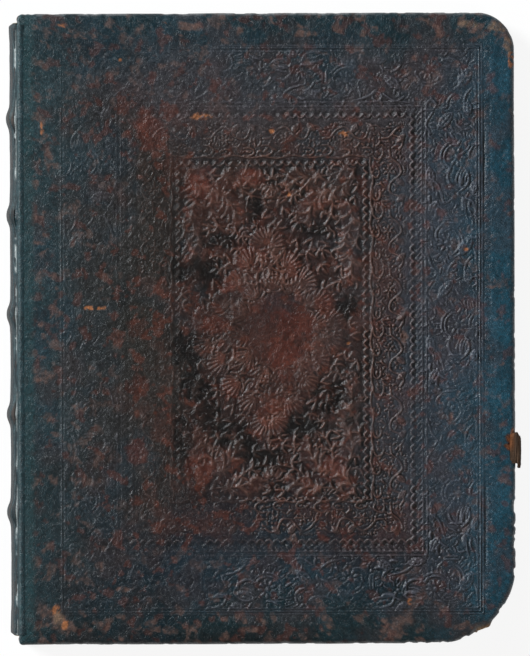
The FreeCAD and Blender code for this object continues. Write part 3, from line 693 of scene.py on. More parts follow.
def roll_along(die, x, y, lines, inset, shift):
    """Rolls a die round a rectangle: s runs along the nearest side and t outward from a line that lies an
    inset inside the rectangle."""
    gaps = frame_gaps(x, y, lines)
    along = np.choose(np.argmin(gaps, axis=0), [-y, y, x, -x])
    return die.sample(along + shift, inset - gaps.min(axis=0))


def tooling(x, y):
    """How far each place is raised into a stroke, sunk into pressed ground and swollen into a leaf, all from
    0 to 1: the rolls round the frames, then the panel's single tools. The panel's bare ground is sunk too."""
    layers = [np.zeros(x.shape) for _ in range(3)]
    zigzag = zigzag_die()
    rolls = [
        (fillet_die((-1.0, 0.0, 1.0)), OUTER_FRAME, 0.0, 0.0),
        (fillet_die((-0.7, 0.7)), SECOND_FRAME, 0.0, 0.0),
        (dentil_die(), OUTER_FRAME, -2.8, 0.0),
        (scroll_die(), OUTER_FRAME, 10.5, 0.0),
        (rope_die(), SECOND_FRAME, 1.7, 0.6),
        (zigzag, SECOND_FRAME, 4.3, 0.0),
        (vine_die(), SECOND_FRAME, 13.0, 0.0),
        (zigzag, PANEL_FRAME, 0.0, 1.0),
    ]
    for die, lines, inset, shift in rolls:
        for layer, found in zip(layers, roll_along(die, x, y, lines, inset, shift)):
            np.maximum(layer, found, out=layer)
    worked = np.zeros(x.shape)
    for die, place, turn, mirror in panel_stamps():
        reach = 0.75 * max(die.long, die.wide)
        near = (np.abs(x - place[0]) < reach) & (np.abs(y - place[1]) < reach)
        angle = math.radians(turn)
        dx, dy = x[near] - place[0], y[near] - place[1]
        s = dx * math.cos(angle) + dy * math.sin(angle)
        t = (-dx * math.sin(angle) + dy * math.cos(angle)) * mirror
        found = die.sample(s, t)
        clear = 1 - worked[near] if die.yields else 1.0
        for layer, part in zip(layers, found):
            layer[near] = np.maximum(layer[near], part * clear)
        worked[near] = np.maximum(worked[near], smooth(found[2] + found[0], 0.0, 0.3))
    up, down, body = layers
    edge = medallion_gap(x, y) + 0.12 * (cloud(x, y, 7.0, 19, 2) - 0.5)
    ground = within(x, y, PANEL_FRAME) * smooth(edge, 0.92, 1.05)
    down = np.maximum(down, 0.7 * ground * (1 - body))
    return up, down * (1 - 0.8 * body), body


def wear(x, y):
    """How fresh the tooling is: weak on the left third, in patches and in the medallion, full at the right,
    and broken along the strokes."""
    side = 0.30 + 0.70 * smooth(x, -42.0, 4.0) + 0.4 * np.exp(-((x - 47.0) / 9.0) ** 2)
    patches = 0.45 + 0.55 * smooth(cloud(x, y, 22.0, 11), 0.36, 0.54)
    broken = 0.5 + 0.5 * smooth(cloud(x, y, 2.8, 13, 2), 0.30, 0.55)
    medallion = smooth(medallion_gap(x, y), 0.8, 1.0)
    border = 1 - 0.35 * smooth(y, 80.0, 86.0) - 0.2 * smooth(-y, 80.0, 86.0)
    return side * patches * broken * border * (0.12 + 0.88 * medallion)


def crack(x, y):
    """The deep line beside the right ruled frame, open high up and low down."""
    line = np.exp(-((x - 80.4 - 0.9 * (cloud(y, x * 0, 9.0, 15, 3) - 0.5)) / 0.34) ** 2)
    high = smooth(y, 47.0, 52.0) * (1 - smooth(y, 68.0, 74.0))
    low = smooth(y, -90.0, -84.0) * (1 - smooth(y, -60.0, -52.0))
    return line * (high + 0.6 * low)


def cover_relief(x, y):
    """The front cover's height over its plain face: strokes and leaves up, ground down, all scaled by the
    wear and weaker in the black patches, plus gentle hollows of the board under the leather, the pebbled
    grain and the lumps of the bands beside the joint. The masks of strokes, ground and leaves come with it."""
    up, down, body = tooling(x, y)
    fresh = wear(x, y)
    wave = (cloud(x, y, 34.0, 21, 3) - 0.5) * 0.4 + (cloud(x, y, 6.0, 25, 2) - 0.5) * 0.12
    pebble = (cloud(x, y, 1.8, 27, 3) - 0.5) * 0.30
    calm = 1 - 0.55 * spots(x, y, BLACK_PATCHES)
    raised = (0.50 * up + 0.24 * body) * fresh * calm
    sunk = 0.42 * down * (1 - up) * fresh + 0.5 * crack(x, y)
    lump = np.zeros(x.shape)
    for place in BAND_PLACES:
        lump = lump + np.exp(-((y - place) / 3.6) ** 2) * smooth(-x, -JOINT_X - 9.0, -JOINT_X - 1.0)
    masks = (up * fresh, down * (1 - up) * fresh, body * fresh)
    return raised - sunk + wave + pebble + 0.16 * lump, masks


def spots(x, y, places):
    """The strongest of several soft-edged ovals, each given as x, y, half width and half height."""
    ragged = (cloud(x, y, 2.2, 31, 3) - 0.5) * 1.1
    mask = np.zeros(x.shape)
    for px, py, half_wide, half_high in places:
        gap = np.hypot((x - px) / half_wide, (y - py) / half_high) + ragged
        mask = np.maximum(mask, 1 - smooth(gap, 0.55, 1.05))
    return mask


# Places of wear and stain on the front cover, each as x, y, half width and half height.
ORANGE_WEAR = [
    (-22.0, 77.0, 4.8, 1.5), (-62.6, 7.7, 4.6, 0.9), (29.5, 70.8, 2.4, 1.3), (9.0, 48.8, 1.2, 1.0),
    (73.6, 28.6, 1.2, 0.8), (52.5, -99.6, 1.2, 1.4), (31.1, -5.3, 1.2, 0.8), (90.4, 97.0, 1.2, 3.6),
    (-72.6, 110.6, 1.8, 0.7), (-36.0, 111.4, 1.0, 0.6), (90.8, -38.2, 1.2, 3.0), (-80.6, 73.0, 0.6, 2.8),
    (-52.0, 98.0, 0.8, 0.6), (3.0, 71.8, 1.4, 0.8), (-76.4, -102.0, 2.2, 2.0),
    (-72.6, -107.6, 1.6, 2.4),
]
PINK_WEAR = [
    (-82.0, -16.5, 5.4, 3.0), (-67.5, -28.5, 3.4, 1.8), (-78.0, -38.0, 1.4, 3.2), (-85.0, -50.0, 1.8, 3.0),
    (-75.5, -104.0, 4.2, 4.6), (-71.0, -110.5, 3.0, 2.0), (-45.0, -110.8, 5.0, 1.6),
    (-34.0, -109.6, 3.4, 1.6),
    (21.5, -108.6, 5.0, 1.8), (47.0, -107.0, 8.5, 1.8), (74.0, -108.6, 5.4, 1.8), (-6.0, -109.5, 4.0, 1.4),
    (-27.5, 110.0, 6.5, 1.8), (-11.5, 107.0, 4.0, 1.8), (-62.0, 106.6, 8.0, 1.2), (12.0, 107.5, 7.0, 1.4),
    (78.0, 109.0, 9.0, 2.6), (88.0, 106.5, 3.4, 6.0), (84.5, 14.9, 5.0, 0.8), (86.5, -12.9, 1.4, 1.2),
    (51.0, -3.2, 2.2, 4.0), (9.5, -76.0, 2.4, 1.6), (-76.0, 4.0, 1.8, 2.4), (-78.5, 62.0, 1.4, 5.0),
    (-60.0, -86.0, 2.4, 1.6), (68.0, -33.0, 1.8, 2.6), (-83.0, -84.0, 1.6, 3.4), (-52.0, -95.0, 2.6, 1.2),
]
CORNER_WEAR = [
    (86.0, 109.5, 3.4, 2.2), (89.4, 103.5, 1.8, 4.2), (74.5, 110.5, 4.4, 1.6), (-75.0, -105.0, 2.4, 3.0),
]
RUST_WEAR = [
    (-24.0, 52.0, 7.5, 7.0), (-4.5, 54.5, 6.0, 4.0), (-42.0, 72.0, 7.5, 9.0), (8.4, 49.3, 3.0, 2.2),
    (-18.0, 1.0, 6.5, 3.6), (7.0, -9.0, 8.0, 9.0), (-13.5, 15.0, 4.0, 3.0), (-5.0, 26.0, 7.0, 6.0),
    (10.0, 22.0, 6.0, 4.0), (-46.0, 0.5, 4.0, 5.0), (-46.0, -21.5, 4.4, 5.0), (-46.0, -45.0, 4.8, 6.0),
    (4.0, -30.0, 7.0, 6.0), (-12.0, -22.0, 5.0, 4.0), (22.0, 8.0, 5.0, 6.0), (-24.0, -50.0, 6.0, 5.0),
    (26.0, -50.0, 6.0, 6.0), (12.0, 2.0, 9.0, 7.0),
]
BLACK_PATCHES = [
    (-24.0, 21.0, 8.5, 4.6), (-27.0, -6.5, 5.0, 5.0), (-25.0, -22.0, 4.6, 5.0), (-14.0, -38.0, 6.5, 4.4),
    (0.5, -49.0, 4.4, 5.4), (14.0, -34.5, 5.4, 4.4), (25.5, -25.0, 6.0, 4.4), (-17.0, 32.0, 6.0, 2.4),
    (-3.0, 43.5, 3.0, 4.0), (-21.0, -31.0, 4.0, 4.0), (-6.5, -44.0, 5.4, 3.4), (16.0, 36.0, 6.0, 1.8),
    (30.0, 8.0, 3.0, 4.0), (33.0, -33.0, 3.0, 4.0), (-30.0, -40.0, 3.0, 6.0),
]

# The leather's tones at five distances outward from the panel's frame, on each of its four sides. The
# blue-green of the borders is partly the leather's own dark tone and partly painted reflection of blue sky,
# strongest on the right.
TONE_STOPS = (-30.0, -4.0, 11.0, 31.0, 48.0)
TONES_AND_SKY_REFLECTION = {
    "left": [(64, 36, 31), (36, 28, 26), (46, 40, 37), (43, 46, 48), (40, 62, 68)],
    "right": [(64, 36, 31), (58, 48, 48), (56, 58, 66), (58, 68, 80), (30, 78, 96)],
    "low": [(64, 36, 31), (32, 26, 30), (34, 34, 42), (18, 44, 56), (12, 42, 48)],
    "high": [(64, 36, 31), (50, 38, 35), (62, 53, 54), (54, 56, 62), (18, 46, 54)],
}


def broad_tone_and_sky_reflection(x, y):
    """The leather's broad colour: on each side of the panel a run of tones over the distance outward, the four
    mixed by weights e^(distance / 7), with the distances shaken by clouds. The blue-green towards the borders
    is partly the leather's own tone and partly painted reflection of blue sky."""
    left, right, low, high = PANEL_FRAME
    shake = (cloud(x, y, 17.0, 41, 3) - 0.5) * 22.0
    total, weight = np.zeros((len(x), 3)), np.zeros(len(x))
    for side, reach in (("left", left - x), ("right", x - right), ("low", low - y), ("high", y - high)):
        tones = np.stack([srgb(*tone) for tone in TONES_AND_SKY_REFLECTION[side]])
        share = np.exp((reach + 60.0) / 7.0)
        tone = np.stack([np.interp(reach + shake, TONE_STOPS, tones[:, k]) for k in range(3)], axis=-1)
        total += tone * share[:, None]
        weight += share
    return total / weight[:, None]


def patches(x, y, size, seed, share, soft):
    """Blots that cover the given share of the leather: noise past the level that leaves that share."""
    level = smooth(cloud(x, y, size, seed), 0.28, 0.72)
    return smooth(level - (1 - share), -soft, soft)


def blend(colour, other, mask):
    """Colours mixed place by place."""
    return colour * (1 - mask[:, None]) + np.asarray(other) * mask[:, None]


def leather_colour(x, y, masks):
    """The leather's colour over the cover: the broad tone, whose blue-green borders hold painted reflection of
    the sky, with soft clouds of blue-green and brown; paler rubbed strokes, partly painted highlight on the
    ridges; darker pressed ground and a dark deep line, both painted shade; then the worn and the blackened
    places. Gives colour, roughness and the mask of wear."""
    raised, sunk, body = masks
    left, right, low, high = PANEL_FRAME
    gap_x = np.maximum(np.maximum(left - x, x - right), 0)
    gap_y = np.maximum(np.maximum(low - y, y - high), 0)
    outside = smooth(np.maximum(gap_x, gap_y), 0.0, 40.0)
    # Painted reflection: the blue-green towards the borders is partly the leather's own tone and partly
    # painted reflection of blue sky.
    colour = broad_tone_and_sky_reflection(x, y)
    teal = patches(x, y, 13.0, 43, 0.30 * outside, 0.45)
    colour = blend(colour, srgb(28, 54, 66), 0.55 * teal)
    brown = blend(np.tile(srgb(84, 46, 36), (len(x), 1)), srgb(78, 54, 52), outside)
    mask = 0.5 * patches(x, y, 10.0, 47, 0.30 - 0.29 * smooth(outside, 0.0, 0.5), 0.4)
    colour = blend(colour, brown, mask)
    rust = spots(x, y, RUST_WEAR)
    colour = blend(colour, srgb(108, 45, 28), 0.66 * rust * (0.6 + 0.4 * body))
    colour = blend(colour, srgb(78, 42, 33), 0.35 * body * (1 - outside))
    olive = np.exp(-((x + 50.0) / 16.0) ** 2 - ((y - 6.0) / 26.0) ** 2)
    colour = blend(colour, srgb(40, 40, 35), 0.55 * olive)
    dark = smooth(-y, 106.0, 113.0) * np.exp(-((x + 12.0) / 26.0) ** 2)
    colour = colour * (1 - 0.6 * dark)[:, None] * (1 - 0.25 * smooth(-x - y, 100.0, 150.0))[:, None]
    fleck = patches(x, y, 3.4, 49, 0.015 + 0.05 * (1 - outside), 0.10)
    colour = blend(colour, srgb(106, 52, 36), 0.55 * fleck)
    black = spots(x, y, [(*place[:2], 1.5 * place[2], 1.5 * place[3]) for place in BLACK_PATCHES])
    black = black * smooth(cloud(x, y, 4.0, 55), 0.22, 0.38) * (1 - 0.3 * body)
    colour = blend(colour, srgb(8, 7, 7), 0.9 * black)
    mottle = 1 + 0.5 * (cloud(x, y, 7.0, 51, 3) - 0.5) + 0.35 * (cloud(x, y, 1.2, 53, 2) - 0.5)
    colour = 0.80 * colour * mottle[:, None]
    # Painted shade: the pressed, sunk ground is darkened by up to 78 per cent.
    colour = colour * (1 - (0.78 - 0.2 * outside) * np.clip(sunk, 0, 1))[:, None]
    # Painted shade: the deep line beside the right frame is darkened by up to 80 per cent.
    colour = colour * (1 - 0.8 * crack(x, y))[:, None]
    # Painted highlight, partly real rubbing: the raised strokes are paled towards a highlight colour,
    # pink-brown in the panel and blue-grey towards the borders.
    rub = 0.36 * np.clip(raised, 0, 1) * (0.4 + 1.0 * cloud(x, y, 4.0, 61)) * (1 - 0.7 * black)
    rubbed = blend(np.tile(srgb(140, 102, 88), (len(x), 1)), srgb(122, 122, 134), smooth(outside, 0.1, 0.7))
    colour = blend(colour, rubbed, rub)
    grain = smooth(cloud(x, y * 0.7, 1.1, 75, 3), 0.34, 0.60)
    share = 0.012 + 0.05 * smooth(-x, 70.0, 82.0) + 0.06 * smooth(np.abs(y), 102.0, 108.0)
    rubbed_edge = patches(x, y, 3.4, 69, share, 0.10) * outside
    pink = np.maximum(spots(x, y, PINK_WEAR) * smooth(cloud(x, y, 2.6, 73), 0.36, 0.62), 0.8 * rubbed_edge)
    pink = pink * (0.35 + 0.65 * grain) * (1 - smooth(-x, 83.5, 85.5))
    colour = blend(colour, srgb(112, 80, 68), 0.66 * pink)
    tan = spots(x, y, CORNER_WEAR) * (0.4 + 0.6 * grain)
    colour = blend(colour, srgb(134, 106, 82), 0.62 * tan)
    pink = np.maximum(pink, tan)
    colour = blend(colour, srgb(36, 64, 68), 0.75 * smooth(-x, 82.5, 85.0))
    flaked = smooth(cloud(x * 0.6 + y * 0.8, y * 0.6 - x * 0.8, 1.3, 77, 2), 0.34, 0.52)
    orange = spots(x, y, ORANGE_WEAR) * flaked
    colour = blend(colour, srgb(170, 104, 58), 0.8 * orange)
    worn = np.clip(np.maximum(pink, orange), 0, 1)
    rough = np.clip(0.36 + 0.30 * worn - 0.04 * black + 0.2 * (mottle - 1), 0.24, 0.9)
    return colour, rough, worn


def make_mesh(name, points, faces, colour=None, rough=None):
    """A smooth mesh from points in millimetres, with its colour and roughness kept on the vertices."""
    mesh = bpy.data.meshes.new(name)
    points = np.asarray(points, dtype=np.float32) / MM
    faces = np.asarray(faces, dtype=np.int32)
    mesh.vertices.add(len(points))
    mesh.vertices.foreach_set("co", points.ravel())
    mesh.loops.add(faces.size)
    mesh.loops.foreach_set("vertex_index", faces.ravel())
    mesh.polygons.add(len(faces))
    mesh.polygons.foreach_set("loop_start", np.arange(0, faces.size, faces.shape[1], dtype=np.int32))
    mesh.polygons.foreach_set("use_smooth", np.ones(len(faces), dtype=bool))
    mesh.update(calc_edges=True)
    mesh.validate()
    if colour is not None:
        layer = mesh.attributes.new("tint", "FLOAT_COLOR", "POINT")
        rgba = np.ones((len(points), 4), dtype=np.float32)
        rgba[:, :3] = colour
        layer.data.foreach_set("color", rgba.ravel())
    if rough is not None:
        layer = mesh.attributes.new("rough", "FLOAT", "POINT")
        layer.data.foreach_set("value", np.asarray(rough, dtype=np.float32))
    piece = bpy.data.objects.new(name, mesh)
    bpy.context.scene.collection.objects.link(piece)
    return piece


def grid_faces(rows, columns, wrap=False):
    """The four corners of each cell of a grid of points stored row by row; wrap joins the last row to the
    first."""
    index = np.arange(rows * columns).reshape(rows, columns)
    if wrap:
        index = np.vstack([index, index[:1]])
    a, b = index[:-1, :-1], index[1:, :-1]
    c, d = index[1:, 1:], index[:-1, 1:]
    return np.stack([a, b, c, d], axis=-1).reshape(-1, 4)


def grid_places(rows, columns):
    """Every pair of a row's and a column's coordinate, row by row, as two flat arrays."""
    row, column = np.meshgrid(rows, columns, indexing="ij")
    return row.ravel(), column.ravel()


def stepped(stops, step):
    """Coordinates that pass through every stop, with near enough the given step between."""
    runs = []
    for start, end in zip(stops[:-1], stops[1:]):
        count = max(1, round((end - start) / step))
        runs.append(np.linspace(start, end, count + 1)[:-1])
    return np.concatenate(runs + [[stops[-1]]])


def cover_lines(step):
    """The grid lines over the tooled field, which pass through each ruled frame."""
    frames = np.array([OUTER_FRAME, SECOND_FRAME, PANEL_FRAME])
    xs, ys = np.sort(frames[:, :2], axis=None), np.sort(frames[:, 2:], axis=None)
    return stepped(xs, step), stepped(ys, step)


def field_pieces(step):
    """The tooled field as a flat grid, split along the ruled frames into two rings of cells and the centre."""
    xs, ys = cover_lines(step)
    x, y = np.meshgrid(xs, ys, indexing="ij")
    middle_x, middle_y = (x[:-1, :-1] + x[1:, 1:]) / 2, (y[:-1, :-1] + y[1:, 1:]) / 2
    in_second = within(middle_x, middle_y, SECOND_FRAME).ravel()
    in_panel = within(middle_x, middle_y, PANEL_FRAME).ravel()
    faces = grid_faces(len(xs), len(ys))
    parts = {
        "front_leather_wide_border": faces[~in_second],
        "front_leather_vine_border": faces[in_second & ~in_panel],
        "front_leather_centre": faces[in_panel],
    }
    return x.ravel(), y.ravel(), parts


def ring_start(xs, ys):
    """The points of the field's own edge, once round: up the left, along the top, down the right and back."""
    left, right, low, high = xs[0], xs[-1], ys[0], ys[-1]
    rounds = [
        np.stack([np.full(len(ys) - 1, left), ys[:-1]], axis=1),
        np.stack([xs[:-1], np.full(len(xs) - 1, high)], axis=1),
        np.stack([np.full(len(ys) - 1, right), ys[:0:-1]], axis=1),
        np.stack([xs[:0:-1], np.full(len(xs) - 1, low)], axis=1),
    ]
    return np.concatenate(rounds)


def cover_outline(start):
    """For each point round the field's edge, the matching point on the cover's edge and the way out there.

    The field's rectangle is stretched to the cover's, and each corner is then bent to its arc: a place that
    lies a along a side from the corner's start goes to the angle 45 a / r on the arc."""
    low_x, high_x = start[:, 0].min(), start[:, 0].max()
    low_y, high_y = start[:, 1].min(), start[:, 1].max()
    x = COVER_START_X + (start[:, 0] - low_x) / (high_x - low_x) * (FORE_X - COVER_START_X)
    y = -HALF_HIGH + (start[:, 1] - low_y) / (high_y - low_y) * 2 * HALF_HIGH
    out = np.zeros((len(x), 2))
    out[np.isclose(x, COVER_START_X), 0] = -1
    out[np.isclose(x, FORE_X), 0] = 1
    out[np.isclose(y, HALF_HIGH) & (out[:, 0] == 0), 1] = 1
    out[np.isclose(y, -HALF_HIGH) & (out[:, 0] == 0), 1] = -1
    corners = {
        "high_right": (FORE_X, HALF_HIGH, 1, 1), "low_right": (FORE_X, -HALF_HIGH, 1, -1),
        "high_left": (COVER_START_X, HALF_HIGH, -1, 1), "low_left": (COVER_START_X, -HALF_HIGH, -1, -1),
    }
    for name, (corner_x, corner_y, way_x, way_y) in corners.items():
        radius = CORNER_RADII[name]
        into_x = radius - np.abs(corner_x - x)
        into_y = radius - np.abs(corner_y - y)
        near = (into_x > 0) & (into_y > 0)
        upright = near & np.isclose(x, corner_x)
        turn = np.where(upright, into_y / radius * 45, 90 - into_x / radius * 45)
        turn = np.radians(turn)
        way = np.stack([np.cos(turn) * way_x, np.sin(turn) * way_y], axis=1)
        centre = np.array([corner_x - way_x * radius, corner_y - way_y * radius])
        bent = centre + way * radius
        x = np.where(near, bent[:, 0], x)
        y = np.where(near, bent[:, 1], y)
        out = np.where(near[:, None], way, out)
    return np.stack([x, y], axis=1), out


def fore_corner(x, y):
    """How far each place belongs to the low fore corner, from 0 to 1, and its angle round that corner's
    centre in degrees, from the fore edge towards the tail."""
    turn = np.degrees(np.arctan2(FORE_CORNER[1] - y, x - FORE_CORNER[0]))
    return smooth(x - y, 150.0, 158.0), turn


def edge_nibbles(place):
    """How far the edge of the leather is worn in: small ragged nibbles all round and deeper ones at the low
    fore corner."""
    x, y = place[:, 0], place[:, 1]
    fine = cloud(x + y * 0.7, y - x * 0.4, 3.0, 81, 3)
    broad = cloud(x - y * 0.6, y + x * 0.5, 14.0, 85, 2)
    corner, turn = fore_corner(x, y)
    dip = corner * (0.9 * np.exp(-((turn - 57.0) / 6.0) ** 2) + 0.4 * smooth(fine, 0.4, 0.7))
    return 0.05 + 0.22 * smooth(fine, 0.52, 0.8) + 0.25 * broad + dip


def quarter(radius, steps, way):
    """A quarter round as insets and depths: out over the edge, or in under it."""
    turn = np.radians(np.linspace(0, 90, steps + 1)[1:])
    if way == "out":
        return [(radius * (1 - math.sin(a)), radius * (1 - math.cos(a))) for a in turn]
    return [(radius * (1 - math.cos(a)), -radius * (1 - math.sin(a))) for a in turn]


def rim_rings(start, profile, rows):
    """Rings of points from the field's edge out to the cover's edge and round it. The margin runs evenly from
    the field to the first inset; profile then lists insets from the outline with depths below the face, and
    each inset and depth may differ beside the joint, where it is the second of a pair."""
    edge, out = cover_outline(start)
    at_joint = smooth(-edge[:, 0], -COVER_START_X - 3.0, -COVER_START_X - 0.1)
    edge = edge - out * (edge_nibbles(edge) * (1 - at_joint))[:, None]

    def spread(length):
        far, near = length if isinstance(length, tuple) else (length, length)
        return far + (near - far) * at_joint

    insets = [spread(inset) for inset, _ in profile]
    depths = [spread(depth) for _, depth in profile]
    brink = edge - out * insets[0][:, None]
    shares = np.linspace(0, 1, rows)[:-1]
    rings = [start + (brink - start) * u for u in shares] + [edge - out * inset[:, None] for inset in insets]
    levels = [depths[0] * u for u in shares] + depths
    return np.stack(rings, axis=1), np.stack(levels, axis=1)


def leather_profile():
    """The leather's section over the edge: a rounding, the side, a small rounding and the turned-in strip,
    which is cut short beside the joint."""
    deep, foot = COVER_THICK - 0.25, 0.8
    over = quarter(1.9, 6, "out")
    near = quarter(1.0, 6, "out")
    profile = [((1.9, 1.0), 0.0)]
    profile += [((a[0], b[0]), (a[1], b[1])) for a, b in zip(over, near)]
    for u in np.linspace(0, 1, 4)[1:]:
        profile.append((0.0, (1.9 + (deep - foot - 1.9) * u, 1.0 + (deep - foot - 1.0) * u)))
    profile += [(inset, deep + drop) for inset, drop in quarter(foot, 3, "in")]
    for u in (0.33, 0.67, 1.0):
        profile.append(((foot + 11.2 * u, foot + 0.4 * u), deep))
    profile.append(((foot + 11.3, foot + 0.45), deep - 0.45))
    return profile


def edge_fall(x, y):
    """How far the cover's face falls away near its edges: 0.35 at the edge, fading out 8 inside it, and
    nothing beside the joint."""
    gap = np.minimum(FORE_X - x, HALF_HIGH - np.abs(y))
    round_gap = CORNER_RADII["low_right"] - np.hypot(x - FORE_CORNER[0], y - FORE_CORNER[1])
    gap = np.where((x > FORE_CORNER[0]) & (y < FORE_CORNER[1]), round_gap, gap)
    return 0.35 * (1 - smooth(gap, 0.0, 8.0))


def plate(name, low_z, high_z, round_radius, inset):
    """A plain board: a coarse face above and below, joined by rings over its rounded edges."""
    xs, ys = cover_lines(BOARD_STEP)
    x, y = grid_places(xs, ys)
    start = ring_start(xs, ys)
    thick = high_z - low_z
    profile = [(inset + round_radius, 0.0)]
    profile += [(inset + a, b) for a, b in quarter(round_radius, 4, "out")]
    profile += [(inset + a, thick + b) for a, b in quarter(round_radius, 4, "in")]
    rings, depths = rim_rings(start, profile, 2)
    count = len(x)
    top = np.stack([x, y, np.full(count, high_z)], axis=1)
    side = np.stack([rings[..., 0], rings[..., 1], high_z - depths], axis=-1)
    bottom = np.stack([x, y, np.full(count, low_z)], axis=1)
    points = np.concatenate([top, side.reshape(-1, 3), bottom])
    flat = grid_faces(len(xs), len(ys))
    walls = grid_faces(rings.shape[0], rings.shape[1], wrap=True)[:, ::-1] + count
    index = np.arange(count).reshape(len(xs), len(ys))
    border = np.concatenate([index[0, :-1], index[:-1, -1], index[-1, :0:-1], index[:0:-1, 0]])
    last = count + np.arange(len(start)) * rings.shape[1] + rings.shape[1] - 1
    foot = border + count + rings.shape[0] * rings.shape[1]
    skirt = np.stack([last, np.roll(last, -1), np.roll(foot, -1), foot], axis=1)
    faces = np.concatenate([flat, walls, skirt, flat[:, ::-1] + foot.min() - border.min()])
    return make_mesh(name, points, faces)


def front_cover_leather(step):
    """The skin of the front cover in four pieces that share their edges, with points a step apart."""
    x, y, parts = field_pieces(step)
    relief, masks = cover_relief(x, y)
    z = TOP_Z - LEATHER_SINK - edge_fall(x, y) + relief
    colour, rough, worn = leather_colour(x, y, masks)
    z = z - 0.12 * worn
    points = np.stack([x, y, z], axis=1)
    pieces = []
    for name, faces in parts.items():
        used, local = np.unique(faces, return_inverse=True)
        pieces.append(make_mesh(name, points[used], local.reshape(faces.shape), colour[used], rough[used]))
    pieces.append(front_margin(step))
    return pieces


def rim_places(step, rows):
    """The places over a cover's margin, edge and turn-ins with their depths below the face, how far each
    is on the inner side, and the cells between them."""
    rings, depths = rim_rings(ring_start(*cover_lines(step)), leather_profile(), rows)
    depth = depths.ravel()
    inner = smooth(depth, COVER_THICK - 2.0, COVER_THICK - 1.0)
    return rings[..., 0].ravel(), rings[..., 1].ravel(), depth, inner, grid_faces(*depths.shape, wrap=True)


def front_margin(step):
    """The untooled margin of the front cover with its rounded edges and turn-ins."""
    x, y, depth, inner, faces = rim_places(step, 24)
    relief, masks = cover_relief(x, y)
    on_face = 1 - smooth(depth, 0.1, 1.4)
    seat = strap_seat(x, y) * on_face
    face = TOP_Z - LEATHER_SINK - edge_fall(x, y) + relief * on_face - 0.45 * seat
    z = face * (1 - inner) + TOP_Z * inner - depth
    colour, rough, _ = leather_colour(x, y, [mask * on_face for mask in masks])
    rim = smooth(depth, 0.1, 0.8) * (1 - inner) * smooth(x, JOINT_X + 4.0, JOINT_X + 8.0)
    rub = rim * smooth(cloud(x + y, y - x + depth * 3, 3.5, 91, 3), 0.36, 0.60)
    colour = blend(colour, srgb(118, 120, 122), 0.7 * rub)
    corner, turn = fore_corner(x, y)
    flake = np.exp(-((turn - 54.0) / 7.0) ** 4) * corner
    flake = flake * smooth(depth, 0.9, 1.6) * (1 - smooth(depth, 3.6, 4.4))
    reach = flake * (0.7 + 1.1 * cloud(x, y, 2.0, 97, 2))
    x = x + reach * np.cos(np.radians(turn))
    y = y - reach * np.sin(np.radians(turn))
    colour = blend(colour, srgb(176, 134, 88), 0.9 * flake)
    torn = srgb(112, 66, 40) * (0.4 + 1.1 * cloud(x * 2.4, y * 0.5, 0.9, 99, 3))[:, None]
    colour = blend(colour, torn, seat)
    return make_mesh("front_leather_margin", np.stack([x, y, z], axis=1), faces[:, ::-1], colour, rough)


def strap_seat(x, y):
    """The torn place where the strap's base shows through the skin."""
    ragged = (cloud(x, y, 1.4, 95, 3) - 0.5) * 1.4
    middle = (STRAP_LOW[1] + STRAP_HIGH[1]) / 2
    gap = np.hypot((x - STRAP_LOW[0] - 3.2) / 2.7, (y - middle - 1.9) / 3.6) + ragged
    return 1 - smooth(gap, 0.7, 1.0)


def back_cover_leather():
    """The skin of the back cover, plainly ruled with its frames: the underside field and the rim with its
    turn-ins."""
    xs, ys = cover_lines(BACK_STEP)
    x, y = grid_places(xs, ys)
    colour, rough, _ = leather_colour(-x, y, np.zeros((3, len(x))))
    points = np.stack([x, y, back_sink(x, y)], axis=1)
    field = make_mesh("back_leather_field", points, grid_faces(len(xs), len(ys))[:, ::-1], colour, rough)
    x, y, depth, inner, faces = rim_places(BACK_STEP, 9)
    z = np.maximum(depth + (back_sink(x, y) + edge_fall(x, y)) * (1 - inner), 0.0)
    colour, rough, _ = leather_colour(-x, y, np.zeros((3, len(x))))
    rim = smooth(depth, 0.1, 0.8) * (1 - inner)
    rub = rim * smooth(cloud(x + y, y - x + depth * 3, 3.5, 91, 3), 0.45, 0.72)
    colour = blend(colour, srgb(92, 84, 80), 0.6 * rub)
    return [field, make_mesh("back_leather_margin", np.stack([x, y, z], axis=1), faces, colour, rough)]


def back_sink(x, y):
    """How far the underside's face lies above the lowest level: gentle hollows, lumps and the ruled lines."""
    wave = (cloud(x, y, 30.0, 121, 3) - 0.5) * 0.2 + (cloud(x, y, 5.0, 123, 3) - 0.5) * 0.12
    ruled = np.zeros(x.shape)
    for lines in (OUTER_FRAME, SECOND_FRAME, PANEL_FRAME):
        ruled = np.maximum(ruled, np.exp(-frame_gaps(x, y, lines).min(axis=0) ** 2))
    return LEATHER_SINK + wave + 0.25 * ruled


def back_curve(run, rise):
    """A point on the rounded back and the way out there, for a run from 0 at the front joint to 1 at the
    back one. The path is a corner arc, the wide arc and a corner arc, each moved out by the rise."""
    small_turn = math.asin(CORNER_RISE / (ROUND_RADIUS - BACK_RADIUS))
    start = math.acos(-0.55)
    lean = math.pi - small_turn
    corner_share = 0.10
    middle_x = SHOULDER_X + math.sqrt((ROUND_RADIUS - BACK_RADIUS) ** 2 - CORNER_RISE ** 2)
    first = run < corner_share
    last = run > 1 - corner_share
    turn = lean + (run - corner_share) / (1 - 2 * corner_share) * (2 * small_turn)
    turn = np.where(first, start + run / corner_share * (lean - start), turn)
    mirrored = 2 * math.pi - (start + (1 - run) / corner_share * (lean - start))
    turn = np.where(last, mirrored, turn)
    centre_x = np.where(first | last, SHOULDER_X, middle_x)
    centre_z = np.where(first, MIDDLE_Z + CORNER_RISE, np.where(last, MIDDLE_Z - CORNER_RISE, MIDDLE_Z))
    radius = np.where(first | last, BACK_RADIUS, ROUND_RADIUS) + rise
    return centre_x + radius * np.cos(turn), centre_z + radius * np.sin(turn)


